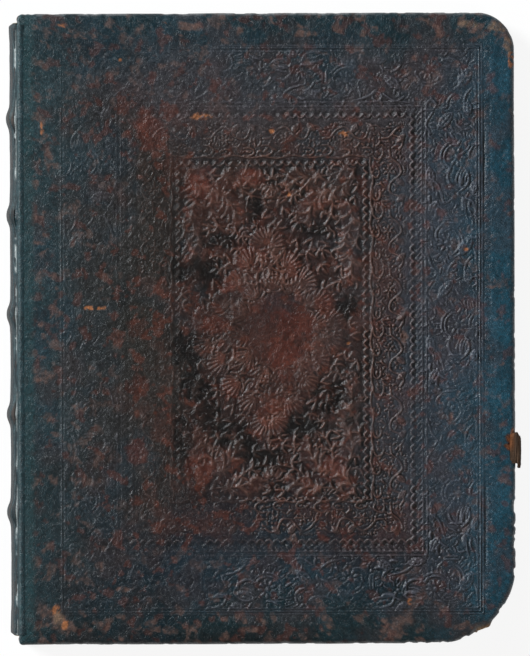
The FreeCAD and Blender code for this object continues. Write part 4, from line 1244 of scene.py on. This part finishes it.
def spine_rise(run, y):
    """How far the spine leather stands off the folds: the skin, a swelling over each band, a soft roll at the
    head and tail, and small unevenness."""
    rise = np.full(y.shape, SKIN_RISE)
    for number, place in enumerate(BAND_PLACES):
        gap = np.abs(y - place - 0.25 * np.sin(3.0 * run + number))
        rise = rise + BAND_RISE * np.exp(-(gap / BAND_SPREAD) ** 2.6)
        rise = rise + 0.18 * np.exp(-(gap / (3.2 * BAND_SPREAD)) ** 2)
    cap = np.maximum(smooth(y, 104.0, 109.0), smooth(-y, 98.0, 107.0))
    rise = rise + 0.25 * cap
    end = np.abs(y) - (SPINE_HIGH[1] - 1.4)
    rise = rise - 1.3 * smooth(end, 0.0, 1.4) ** 2
    return rise + (cloud(run * 60, y, 6.0, 131, 3) - 0.5) * 0.35


def spine_colour(run, y, rise):
    """Blue-green black with a fine crackle, rubbed to grey-brown on the bands and at the ends, with pale
    flecks beside the joints that are partly wear and partly painted highlight. Gives colour and roughness."""
    along = run * 60.0
    base = 0.6 + 0.8 * cloud(along, y, 5.0, 141, 3)
    colour = srgb(8, 30, 36) * base[:, None]
    colour = blend(colour, srgb(48, 38, 35), 0.6 * patches(along, y, 6.0, 143, 0.2, 0.15))
    band = smooth(rise, SKIN_RISE + 0.55, SKIN_RISE + 1.15)
    rub = band * smooth(cloud(along, y, 3.0, 145, 3), 0.40, 0.66)
    colour = blend(colour, srgb(80, 68, 60), 0.4 * rub)
    joint = np.maximum(1 - smooth(run, 0.03, 0.06), smooth(run, 0.94, 0.97))
    # Painted highlight, partly real wear: pale flecks along the joints.
    pale = joint * smooth(cloud(along * 3, y, 4.0, 149, 3), 0.54, 0.66)
    colour = blend(colour, srgb(84, 104, 106), 0.35 * pale)
    crackle = np.exp(-(np.abs(cloud(along, y * 0.6, 2.4, 153, 3) - 0.5) / 0.02) ** 2)
    colour = colour * (1 - 0.5 * crackle)[:, None]
    ends = np.maximum(smooth(y, 103.0, 111.0), smooth(-y, 96.0, 110.0))
    colour = blend(colour, srgb(70, 62, 58), 0.5 * ends * smooth(cloud(along, y, 2.5, 151, 3), 0.45, 0.6))
    rough = 0.66 + 0.1 * rub
    return colour, rough


def spine_leather():
    """The skin over the back: a grid of runs round the back and steps along it, closed at head and tail by a
    lip that turns in over the folds."""
    run = np.concatenate([
        np.linspace(0, 0.10, 16)[:-1], np.linspace(0.10, 0.90, 60), np.linspace(0.90, 1, 16)[1:]
    ])
    y = stepped([SPINE_LOW[1], SPINE_LOW[1] + 3.0, SPINE_HIGH[1] - 3.0, SPINE_HIGH[1]], 0.5)
    runs, ys = grid_places(run, y)
    rise = spine_rise(runs, ys)
    x, z = back_curve(runs, rise)
    colour, rough = spine_colour(runs, ys, rise)
    points, faces = [np.stack([x, ys, z], axis=1)], [grid_faces(len(run), len(y))[:, ::-1]]
    tints, roughs = [colour], [rough]
    inner_x, inner_z = back_curve(run, np.full(len(run), 0.35))
    for column, flip in ((0, False), (len(y) - 1, True)):
        rows = np.arange(len(run)) * len(y) + column
        lip = sum(len(part) for part in points) + np.arange(len(run))
        strip = np.stack([rows[:-1], rows[1:], lip[1:], lip[:-1]], axis=1)
        points.append(np.stack([inner_x, ys[rows], inner_z], axis=1))
        faces.append(strip if flip else strip[:, ::-1])
        tints.append(colour[rows])
        roughs.append(rough[rows])
    return make_mesh("spine_skin", *(np.concatenate(part) for part in (points, faces, tints, roughs)))


def joint_leather(name, front):
    """The strip of skin along one joint: from the cover's face over its rounded edge, down into the groove and
    up on to the back, as a smooth curve through seven points of the section."""
    y = np.arange(-111.2, 111.21, 0.5)
    face = TOP_Z - LEATHER_SINK + (cover_relief(np.full(y.shape, JOINT_X + 2.4), y)[0] if front else 0.0)
    band = sum(np.exp(-((y - place) / BAND_SPREAD) ** 2) for place in BAND_PLACES)
    ragged = (cloud(y, y * 0.3, 5.0, 165, 3) - 0.5) * 0.4
    sections = []
    for run, lift in ((0.045, 0.06), (0.06, 0.05)):
        spine_run = np.full(y.shape, run)
        x, z = back_curve(spine_run, spine_rise(spine_run, y) + lift)
        sections.append(np.stack([x, z], axis=1))
    rim = [
        (JOINT_X + 2.6, face - 0.02), (JOINT_X + 1.6, face + 0.07), (JOINT_X + 0.8, face - 0.10),
        (JOINT_X + 0.25 + 0.3 * ragged, face - 0.75 + 0.3 * band),
        (JOINT_X - 0.25 + 0.3 * ragged, face - 1.5 + 0.9 * band + ragged),
    ]
    knots = [np.stack([np.broadcast_to(x, y.shape), np.broadcast_to(z, y.shape)], axis=1) for x, z in rim]
    knots += sections
    count = 19
    columns = np.stack([through([knot[row] for knot in knots], count) for row in range(len(y))], axis=1)
    x, z = columns[..., 0].ravel(), columns[..., 1].ravel()
    us, ys = grid_places(np.linspace(0, 1, count), y)
    base = 0.55 + 0.9 * cloud(x * 2, ys, 3.0, 161, 3)
    colour = srgb(20, 46, 52) * base[:, None]
    crack = np.exp(-((us - 0.60) / 0.06) ** 2) * smooth(cloud(us * 4, ys, 9.0, 167, 2), 0.45, 0.6)
    colour = colour * (1 - 0.7 * crack[:, None])
    # Painted highlight, partly real wear: a pale line along the lip beside the joint.
    pale = np.exp(-((us - 0.72) / 0.045) ** 2) * smooth(cloud(us * 9, ys, 5.0, 149, 3), 0.44, 0.58)
    colour = blend(colour, srgb(180, 186, 184), 0.8 * pale)
    rough = 0.45 + 0.2 * pale
    if not front:
        z = TOP_Z - z
    faces = grid_faces(count, len(y))
    return make_mesh(name, np.stack([x, ys, z], axis=1), faces if front else faces[:, ::-1], colour, rough)


def block_outline():
    """The plan of the leaves from the tail of the joint round the fore edge to its head: points and the ways
    outward."""
    square = FORE_X - BLOCK_HIGH[0]
    head_radius = CORNER_RADII["high_right"] - square
    tail_radius = CORNER_RADII["low_right"] - square
    left, right, half = SHOULDER_X, BLOCK_HIGH[0], BLOCK_HIGH[1]
    tail_side = stepped([left, right - tail_radius], 3.0)
    fore_side = stepped([-half + tail_radius, half - head_radius], 3.0)[1:-1]
    head_side = stepped([left, right - head_radius], 3.0)[::-1]
    path = np.concatenate([
        np.stack([tail_side, np.full(len(tail_side), -half)], axis=1),
        arc_line((right - tail_radius, -half + tail_radius), tail_radius, -86, 0, 18),
        np.stack([np.full(len(fore_side), right), fore_side], axis=1),
        arc_line((right - head_radius, half - head_radius), head_radius, 0, 85, 10),
        np.stack([head_side, np.full(len(head_side), half)], axis=1),
    ])
    way = np.gradient(path, axis=0)
    return path, np.stack([way[:, 1], -way[:, 0]], axis=1) / np.hypot(way[:, 0], way[:, 1])[:, None]


def leaf_edges():
    """The edges of the leaves at head, tail and fore edge: a wall just over the three sides of the block, one
    thin ridge to a few leaves, with each gathering of leaves standing a little in or out."""
    low, high = COVER_THICK, TOP_Z - COVER_THICK
    path, out = block_outline()
    z = np.linspace(low, high, 150)
    place, level = grid_places(np.arange(len(path)), z)
    along = place * 3.0
    hollow = 1.5 * (1 - ((level - MIDDLE_Z) / (MIDDLE_Z - low)) ** 2)
    gathering = cloud(level, along * 0.05, 2.4, 171, 2) * 0.5
    leaf = cloud(level, along * 0.03, 0.6, 175, 2) * 0.3
    pin = np.minimum(smooth(level, low, low + 0.5), 1 - smooth(level, high - 0.5, high))
    outward = 0.05 + (gathering + leaf) * pin
    x = path[place, 0] + out[place, 0] * outward
    x = np.minimum(x, BLOCK_HIGH[0] - hollow + outward)
    y = path[place, 1] + out[place, 1] * outward
    tone = 0.7 + 0.5 * cloud(level, along * 0.05, 1.1, 181, 3)
    grime = smooth(cloud(along, level * 2, 16.0, 185, 3), 0.5, 0.8)
    colour = srgb(166, 141, 104) * tone[:, None] * (1 - 0.35 * grime[:, None])
    points = np.stack([x, y, level], axis=1)
    return make_mesh("leaf_edges", points, grid_faces(len(path), len(z)), colour, np.full(len(x), 0.85))


def endband(name, node):
    """A sewn band: a roll wound with thread in two colours, its radius rising over each turn by |cos|. The
    colour is darkened between the turns by up to 45 per cent as painted shade.
    """
    low, high = box_mm(node)
    centre = (low + high) / 2
    radius = (high[0] - low[0]) / 2
    turn = np.linspace(0, 2 * math.pi, 21)[:-1]
    along = np.linspace(low[2], high[2], 240)
    turns, levels = grid_places(turn, along)
    wind = levels / 0.62 * math.pi + turns * 0.5
    closing = smooth(levels, low[2] - 0.01, low[2] + 0.6)
    closing = np.minimum(closing, 1 - smooth(levels, high[2] - 0.6, high[2] + 0.01))
    swell = (radius - 0.16 * (1 - np.abs(np.cos(wind)))) * np.maximum(closing, 0.02)
    x = centre[0] + swell * np.cos(turns) + 0.12 * np.sin(levels * 0.35)
    y = centre[1] + swell * np.sin(turns)
    second = (np.floor(levels / 2.48 + turns / (8 * math.pi)) % 2)[:, None]
    colour = srgb(150, 128, 92) * (1 - second) + srgb(84, 52, 44) * second
    # Painted shade: the thread is darkened where it dips between the turns.
    colour = colour * (0.55 + 0.45 * np.abs(np.cos(wind)))[:, None]
    faces = grid_faces(len(turn), len(along), wrap=True)[:, ::-1]
    return make_mesh(name, np.stack([x, y, levels], axis=1), faces, colour, np.full(len(x), 0.8))


def strap_stub():
    """The torn end of the clasp strap: a bent strip of frayed leather. Across the strap is u and along its
    bend v; the path comes out from under the skin, turns down over the edge and ends in a ragged tear."""
    across, along = np.linspace(0, 1, 80), np.linspace(0, 1, 64)
    u, v = grid_places(across, along)
    middle = (STRAP_LOW[1] + STRAP_HIGH[1]) / 2
    wide = STRAP_HIGH[1] - STRAP_LOW[1] - 0.4
    base_x, out_x, bend = STRAP_LOW[0] + 2.4, STRAP_HIGH[0] - 0.15, 1.6
    flat = out_x - bend - base_x
    tear = 5.6 + 1.8 * cloud(u * wide, u * 0, 2.2, 201, 3)
    run = v * (flat + bend * math.pi / 2 + tear)
    turn = np.clip((run - flat) / bend, 0, math.pi / 2)
    drop = np.clip(run - flat - bend * math.pi / 2, 0, None)
    shoulder = smooth(run, 0.0, flat)
    high_edge = 0.5 * wide - 1.3 * shoulder * smooth(run, flat, flat + bend) - 0.5 * (1 - shoulder)
    low_edge = -0.5 * wide + 1.6 * (1 - smooth(run, flat * 0.8, flat + bend))
    low_edge = low_edge + 0.5 * cloud(run, run * 0, 1.2, 203, 2)
    y = middle + low_edge + u * (high_edge - low_edge)
    fibre = (cloud(run * 1.6, y * 0.16, 0.7, 205, 3) - 0.5) * 0.5
    strand = (cloud(run * 0.5, y, 1.6, 207, 2) - 0.5) * 0.3
    edge_in = 0.35 * (1 - smooth(np.minimum(u, 1 - u), 0.0, 0.12))
    outward = fibre + strand - edge_in - 0.25
    x = base_x + np.minimum(run, flat) + bend * np.sin(turn) + outward * np.sin(turn)
    z = TOP_Z - 0.12 - bend * (1 - np.cos(turn)) - drop + outward * np.cos(turn)
    thick = 0.8
    inner_x, inner_z = x - thick * np.sin(turn), z - thick * np.cos(turn)
    count = len(x)
    index = np.arange(count).reshape(len(across), len(along))
    rims = []
    for line, flip in ((index[0], False), (index[-1], True), (index[:, 0], True), (index[:, -1], False)):
        strip = np.stack([line[:-1], line[1:], line[1:] + count, line[:-1] + count], axis=1)
        rims.append(strip[:, ::-1] if flip else strip)
    tone = 0.4 + 1.2 * cloud(run * 2.0, y * 0.2, 0.8, 209, 3)
    colour = srgb(70, 50, 34) * tone[:, None]
    raw = (1 - smooth(v, 0.0, 0.2)) * smooth(u, 0.3, 0.7)
    colour = blend(colour, srgb(140, 84, 46), 0.8 * raw)
    points = np.concatenate([np.stack([x, y, z], axis=1), np.stack([inner_x, y, inner_z], axis=1)])
    faces = grid_faces(len(across), len(along))
    faces = np.concatenate([faces[:, ::-1], faces + count] + rims)
    return make_mesh("strap_stub", points, faces, np.vstack([colour, 0.9 * colour]), np.full(2 * count, 0.8))


def add_node(tree, kind, inputs=None, **settings):
    """A new shader node. Each input, by its name or number, takes a plain value or is joined to a socket."""
    node = tree.nodes.new(f"ShaderNode{kind}")
    for name, value in settings.items():
        setattr(node, name, value)
    for name, value in (inputs or {}).items():
        if isinstance(value, bpy.types.NodeSocket):
            tree.links.new(value, node.inputs[name])
        else:
            node.inputs[name].default_value = value
    return node


def maths(tree, operation, *values):
    """One arithmetic step on sockets or numbers."""
    return add_node(tree, "Math", dict(enumerate(values)), operation=operation).outputs[0]


def scaled(tree, vector, scale):
    """A vector or colour times a number."""
    return add_node(tree, "VectorMath", {0: vector, "Scale": scale}, operation="SCALE").outputs[0]


def remap(tree, value, low, high, to_low, to_high):
    """A value carried evenly from one range to another and held at its ends."""
    inputs = {"Value": value, "From Min": low, "From Max": high, "To Min": to_low, "To Max": to_high}
    return add_node(tree, "MapRange", inputs).outputs["Result"]


def noise(tree, place, scale, detail, rough):
    """Layered noise at the given places, from 0 to 1."""
    inputs = {"Vector": place, "Scale": scale, "Detail": detail, "Roughness": rough}
    return add_node(tree, "TexNoise", inputs).outputs["Fac"]


def object_place(tree):
    """The place on the object, in metres."""
    return add_node(tree, "TexCoord").outputs["Object"]


def grain_group():
    """Leather grain: pebbled cells with fine pores and creases, as a height, and a mask that is dark in the
    grooves between the cells."""
    group = bpy.data.node_groups.new("leather_grain", "ShaderNodeTree")
    for name, default in (("Cell size", 1.0), ("Crease", 0.5)):
        socket = group.interface.new_socket(name, in_out="INPUT", socket_type="NodeSocketFloat")
        socket.default_value = default
    for name in ("Height", "Pores"):
        group.interface.new_socket(name, in_out="OUTPUT", socket_type="NodeSocketFloat")
    start = group.nodes.new("NodeGroupInput")
    end = group.nodes.new("NodeGroupOutput")
    place = scaled(group, object_place(group), start.outputs["Cell size"])
    cells = add_node(group, "TexVoronoi", {"Vector": place, "Scale": 1400.0}, feature="DISTANCE_TO_EDGE")
    cell = remap(group, cells.outputs["Distance"], 0.0, 0.28, 0.0, 1.0)
    ridge = maths(group, "ABSOLUTE", maths(group, "SUBTRACT", noise(group, place, 420.0, 5.0, 0.62), 0.5))
    crease = maths(group, "MULTIPLY", remap(group, ridge, 0.0, 0.07, 0.0, 1.0), start.outputs["Crease"])
    height = maths(group, "MULTIPLY_ADD", cell, 0.55, crease)
    height = maths(group, "MULTIPLY_ADD", noise(group, place, 2600.0, 3.0, 0.6), 0.5, height)
    group.links.new(height, end.inputs["Height"])
    group.links.new(cell, end.inputs["Pores"])
    return group


def new_material(name):
    """A material with a Principled shader joined to its output."""
    material = bpy.data.materials.new(name)
    material.use_nodes = True
    tree = material.node_tree
    tree.nodes.clear()
    shader = add_node(tree, "BsdfPrincipled", {"Specular IOR Level": 0.4})
    add_node(tree, "OutputMaterial", {"Surface": shader.outputs["BSDF"]})
    return material, tree, shader


def add_bump(tree, shader, height, strength):
    """Tilts a shader's surface by a height of 0.2 mm at full strength."""
    relief = add_node(tree, "Bump", {"Height": height, "Strength": strength, "Distance": 0.0002})
    tree.links.new(relief.outputs["Normal"], shader.inputs["Normal"])


def fibres(tree, scale, detail, rough, stretch):
    """Noise drawn out along the axes."""
    mapping = add_node(tree, "Mapping", {"Vector": object_place(tree), "Scale": stretch})
    return noise(tree, mapping.outputs["Vector"], scale, detail, rough)


def leather_material(name, bump, crease):
    """Leather that takes its colour and roughness from the vertices, broken up by pores and fine grain."""
    material, tree, shader = new_material(name)
    tint = add_node(tree, "Attribute", attribute_name="tint").outputs["Color"]
    rough = add_node(tree, "Attribute", attribute_name="rough").outputs["Fac"]
    pebble = add_node(tree, "Group", node_tree=grain_group())
    pebble.inputs["Crease"].default_value = crease
    shade = remap(tree, noise(tree, object_place(tree), 900.0, 4.0, 0.65), 0.3, 0.7, 0.58, 1.42)
    pore = remap(tree, pebble.outputs["Pores"], 0.0, 1.0, 0.7, 1.06)
    colour = scaled(tree, tint, maths(tree, "MULTIPLY", shade, pore))
    tree.links.new(colour, shader.inputs["Base Color"])
    tree.links.new(rough, shader.inputs["Roughness"])
    add_bump(tree, shader, pebble.outputs["Height"], bump)
    return material


def plain_material(name, colour, rough, scale, contrast, stretch=(1.0, 1.0, 1.0), bump=0.3):
    """A matt fibrous stuff such as wood, paper or skin: one colour broken by stretched noise."""
    material, tree, shader = new_material(name)
    fibre = fibres(tree, scale, 6.0, 0.62, stretch)
    ramp = add_node(tree, "ValToRGB", {"Fac": fibre})
    base = srgb(*colour)
    dark, light = ramp.color_ramp.elements
    dark.position = 0.28
    dark.color = (*(base * (1 - contrast)), 1.0)
    light.position = 0.72
    light.color = (*np.minimum(base * (1 + contrast * 0.6), 1.0), 1.0)
    tree.links.new(ramp.outputs["Color"], shader.inputs["Base Color"])
    shader.inputs["Roughness"].default_value = rough
    add_bump(tree, shader, fibre, bump)
    return material


def tinted_material(name, scale, stretch, bump):
    """A matt stuff whose colour is kept on its vertices, with fine fibres over it."""
    material, tree, shader = new_material(name)
    tint = add_node(tree, "Attribute", attribute_name="tint").outputs["Color"]
    fibre = fibres(tree, scale, 5.0, 0.65, stretch)
    colour = scaled(tree, tint, remap(tree, fibre, 0.3, 0.7, 0.65, 1.25))
    tree.links.new(colour, shader.inputs["Base Color"])
    shader.inputs["Roughness"].default_value = 0.85
    add_bump(tree, shader, fibre, bump)
    return material


# Each finish, as the function that makes its material and what that is given.
FINISHES = {
    "cover_leather": (leather_material, "cover_leather", 0.5, 0.5),
    "strap_leather": (tinted_material, "strap_leather", 1600.0, (1.0, 2.5, 0.5), 0.6),
    "thread": (tinted_material, "endband_thread", 2600.0, (1.0, 1.0, 1.0), 0.3),
    "leaf_edges": (tinted_material, "leaf_edges", 900.0, (0.3, 0.3, 6.0), 0.5),
    "paper": (plain_material, "rag_paper", (196, 176, 138), 0.9, 60.0, 0.18, (1.0, 1.0, 1.0), 0.1),
    "wood": (plain_material, "board_oak", (126, 92, 62), 0.7, 160.0, 0.45, (4.0, 0.35, 4.0)),
    "peg": (plain_material, "peg_wood", (150, 116, 78), 0.7, 260.0, 0.35, (3.0, 3.0, 0.5)),
    "skin": (plain_material, "tawed_skin", (196, 176, 144), 0.8, 500.0, 0.2),
}
MATERIALS = {}


def material_for(finish):
    """The material of a finish, made once."""
    if finish not in MATERIALS:
        maker, *given = FINISHES[finish]
        MATERIALS[finish] = maker(*given)
    return MATERIALS[finish]


def dress(piece, finish):
    """Gives a new piece or a carried-over node its finish."""
    piece.data.materials.clear()
    piece.data.materials.append(material_for(finish))


def set_piece(piece, finish, body, node=None):
    """Gives a new piece its finish, the body it rides on and the node whose place it takes."""
    dress(piece, finish)
    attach(piece, body)
    if node:
        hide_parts(node)


def node_object(node):
    """The object of a carried-over node."""
    return next(item for item in bpy.data.objects if item.name == node or item.name.startswith(f"{node}."))


class BookSizes(bpy.types.PropertyGroup):
    """The sizes that a user may change."""

    grid_step: bpy.props.FloatProperty(
        name="Grid step", description="Distance between the points of the tooled field, in millimetres",
        default=GRID_STEP, min=0.2, max=2.0,
    )
    light_power: bpy.props.FloatProperty(
        name="Light", description="Power of the main soft light", default=112.0, min=0.0, unit="POWER",
    )


class BOOK_OT_front_leather(bpy.types.Operator):
    """The tooled skin of the front cover"""

    bl_idname = "book.front_leather"
    bl_label = "Front cover leather"

    def execute(self, context):
        for piece in front_cover_leather(context.scene.book_sizes.grid_step):
            set_piece(piece, "cover_leather", "front_cover", "front_cover_leather")
        return {"FINISHED"}


class BOOK_OT_back_leather(bpy.types.Operator):
    """The plain skin of the back cover"""

    bl_idname = "book.back_leather"
    bl_label = "Back cover leather"

    def execute(self, context):
        for piece in back_cover_leather():
            set_piece(piece, "cover_leather", "back_cover", "back_cover_leather")
        return {"FINISHED"}


class BOOK_OT_spine_leather(bpy.types.Operator):
    """The skin over the back and its raised bands"""

    bl_idname = "book.spine_leather"
    bl_label = "Spine leather"

    def execute(self, context):
        set_piece(spine_leather(), "cover_leather", "text_block", "spine_leather")
        return {"FINISHED"}


class BOOK_OT_joint_leather(bpy.types.Operator):
    """The two strips of skin along the joints"""

    bl_idname = "book.joint_leather"
    bl_label = "Joint leather"

    def execute(self, context):
        for side, level in (("front", TOP_Z / MM), ("back", 0.0)):
            piece = joint_leather(f"{side}_joint_skin", side == "front")
            dress(piece, "cover_leather")
            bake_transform(piece)
        return {"FINISHED"}


class BOOK_OT_leaves(bpy.types.Operator):
    """The edges of the sewn leaves, and the paper finishes"""

    bl_idname = "book.leaves"
    bl_label = "Leaves"

    def execute(self, context):
        set_piece(leaf_edges(), "leaf_edges", "text_block")
        linings = [f"spine_lining_{number}" for number in range(1, 7)]
        for node in ["text_block", "front_pastedown", "back_pastedown"] + linings:
            dress(node_object(node), "paper")
        return {"FINISHED"}


class BOOK_OT_endbands(bpy.types.Operator):
    """The thread-wound bands at head and tail"""

    bl_idname = "book.endbands"
    bl_label = "Endbands"

    def execute(self, context):
        for node in ("head_endband", "tail_endband"):
            set_piece(endband(f"{node}_winding", node), "thread", "text_block", node)
        return {"FINISHED"}


class BOOK_OT_strap(bpy.types.Operator):
    """The torn stub of the clasp strap"""

    bl_idname = "book.strap"
    bl_label = "Strap stub"

    def execute(self, context):
        set_piece(strap_stub(), "strap_leather", "front_cover", "clasp_strap_stub")
        return {"FINISHED"}


class BOOK_OT_inner_parts(bpy.types.Operator):
    """Finishes for the boards, pegs, cords and slips"""

    bl_idname = "book.inner_parts"
    bl_label = "Boards and sewing"

    def execute(self, context):
        for side, body in (("front", "front_cover"), ("back", "back_cover")):
            low, high = box_mm(f"{side}_board")
            above, below = (0.0, 0.2) if side == "front" else (0.2, 0.0)
            board = plate(f"{side}_board_plate", low[2] + above, high[2] - below, 1.1, 1.05)
            set_piece(board, "wood", body, f"{side}_board")
            dress(node_object(f"{side}_board_pegs"), "peg")
            for number in range(1, 6):
                dress(node_object(f"{side}_cord_slip_{number}"), "skin")
        for number in range(1, 6):
            dress(node_object(f"sewing_cord_{number}"), "skin")
        return {"FINISHED"}


def area_light(name, place, power, size, colour):
    """A square soft lamp that looks at the middle of the book."""
    data = bpy.data.lights.new(name, "AREA")
    data.energy = power
    data.size = size
    data.color = colour
    lamp = bpy.data.objects.new(name, data)
    bpy.context.scene.collection.objects.link(lamp)
    lamp.location = place
    aim = np.array([0.0, 0.0, TOP_Z / MM]) - np.array(place)
    flat = math.hypot(aim[0], aim[1])
    lamp.rotation_euler = (math.atan2(flat, -aim[2]), 0.0, math.atan2(-aim[0], aim[1]))


def floor_material():
    """White to the camera and in reflections, and a plain pale surface to the lamps."""
    material, tree, shader = new_material("pale_floor")
    shader.inputs["Base Color"].default_value = (0.86, 0.86, 0.86, 1.0)
    shader.inputs["Roughness"].default_value = 0.9
    shader.inputs["Specular IOR Level"].default_value = 0.0
    rays = add_node(tree, "LightPath").outputs
    seen = maths(tree, "MAXIMUM", rays["Is Camera Ray"], rays["Is Glossy Ray"])
    glow = add_node(tree, "Emission", {"Strength": 1.02}).outputs["Emission"]
    inputs = {"Fac": maths(tree, "MULTIPLY", seen, 0.88), 1: shader.outputs["BSDF"], 2: glow}
    mix = add_node(tree, "MixShader", inputs)
    output = next(node for node in tree.nodes if node.bl_idname == "ShaderNodeOutputMaterial")
    tree.links.new(mix.outputs["Shader"], output.inputs["Surface"])
    return material


class BOOK_OT_stage(bpy.types.Operator):
    """The pale floor, the soft lamps, the world and the camera"""

    bl_idname = "book.stage"
    bl_label = "Stage"

    def execute(self, context):
        scene = context.scene
        half = 1.5
        mesh = bpy.data.meshes.new("floor")
        level = -0.0004
        corners = [(-half, -half, level), (half, -half, level), (half, half, level), (-half, half, level)]
        mesh.from_pydata(corners, [], [(0, 1, 2, 3)])
        floor = bpy.data.objects.new("floor", mesh)
        scene.collection.objects.link(floor)
        floor.data.materials.append(floor_material())
        power = scene.book_sizes.light_power
        area_light("key_lamp", (-2.0, 1.15, 1.42), power, 0.9, (0.92, 0.97, 1.0))
        area_light("fill_lamp", (2.2, -1.8, 2.0), power * 0.2, 1.6, (1.0, 0.97, 0.92))
        world = bpy.data.worlds.new("soft_world")
        world.use_nodes = True
        tree = world.node_tree
        background = next(node for node in tree.nodes if node.bl_idname == "ShaderNodeBackground")
        background.inputs["Color"].default_value = (1.0, 1.0, 1.0, 1.0)
        seen = add_node(tree, "LightPath").outputs["Is Camera Ray"]
        strength = remap(tree, seen, 0.0, 1.0, 0.12, 1.0)
        tree.links.new(strength, background.inputs["Strength"])
        scene.world = world
        scene.view_settings.view_transform = "Standard"
        self.add_camera(scene)
        return {"FINISHED"}

    def add_camera(self, scene):
        """A long lens straight above the cover, whose frame takes in 192.9 mm across at the cover's face."""
        distance = 6.0
        frame_wide = 192.87 / MM
        data = bpy.data.cameras.new("camera")
        data.sensor_fit = "HORIZONTAL"
        data.sensor_width = 36.0
        data.lens = data.sensor_width * distance / frame_wide
        camera = bpy.data.objects.new("camera", data)
        scene.collection.objects.link(camera)
        camera.location = ((MIDDLE_X - 0.55) / MM, 0.18 / MM, TOP_Z / MM + distance)
        camera.rotation_euler = (0.0, 0.0, math.radians(-0.2))
        scene.camera = camera


class BOOK_PT_panel(bpy.types.Panel):
    """Lists the book's pieces"""

    bl_idname = "BOOK_PT_panel"
    bl_label = "Antique book"
    bl_space_type = "VIEW_3D"
    bl_region_type = "UI"
    bl_category = "Book"

    def draw(self, context):
        layout = self.layout
        layout.prop(context.scene.book_sizes, "grid_step")
        layout.prop(context.scene.book_sizes, "light_power")
        for operator in OPERATORS:
            layout.operator(operator.bl_idname)


OPERATORS = (
    BOOK_OT_front_leather,
    BOOK_OT_back_leather,
    BOOK_OT_spine_leather,
    BOOK_OT_joint_leather,
    BOOK_OT_leaves,
    BOOK_OT_endbands,
    BOOK_OT_strap,
    BOOK_OT_inner_parts,
    BOOK_OT_stage,
)
CLASSES = (BookSizes,) + OPERATORS + (BOOK_PT_panel,)


def register():
    for item in CLASSES:
        bpy.utils.register_class(item)
    bpy.types.Scene.book_sizes = bpy.props.PointerProperty(type=BookSizes)


def unregister():
    del bpy.types.Scene.book_sizes
    for item in reversed(CLASSES):
        bpy.utils.unregister_class(item)


def main():
    """Builds every piece in order."""
    register()
    for operator in OPERATORS:
        space, name = operator.bl_idname.split(".")
        getattr(getattr(bpy.ops, space), name)()


if __name__ == "__main__":
    main()
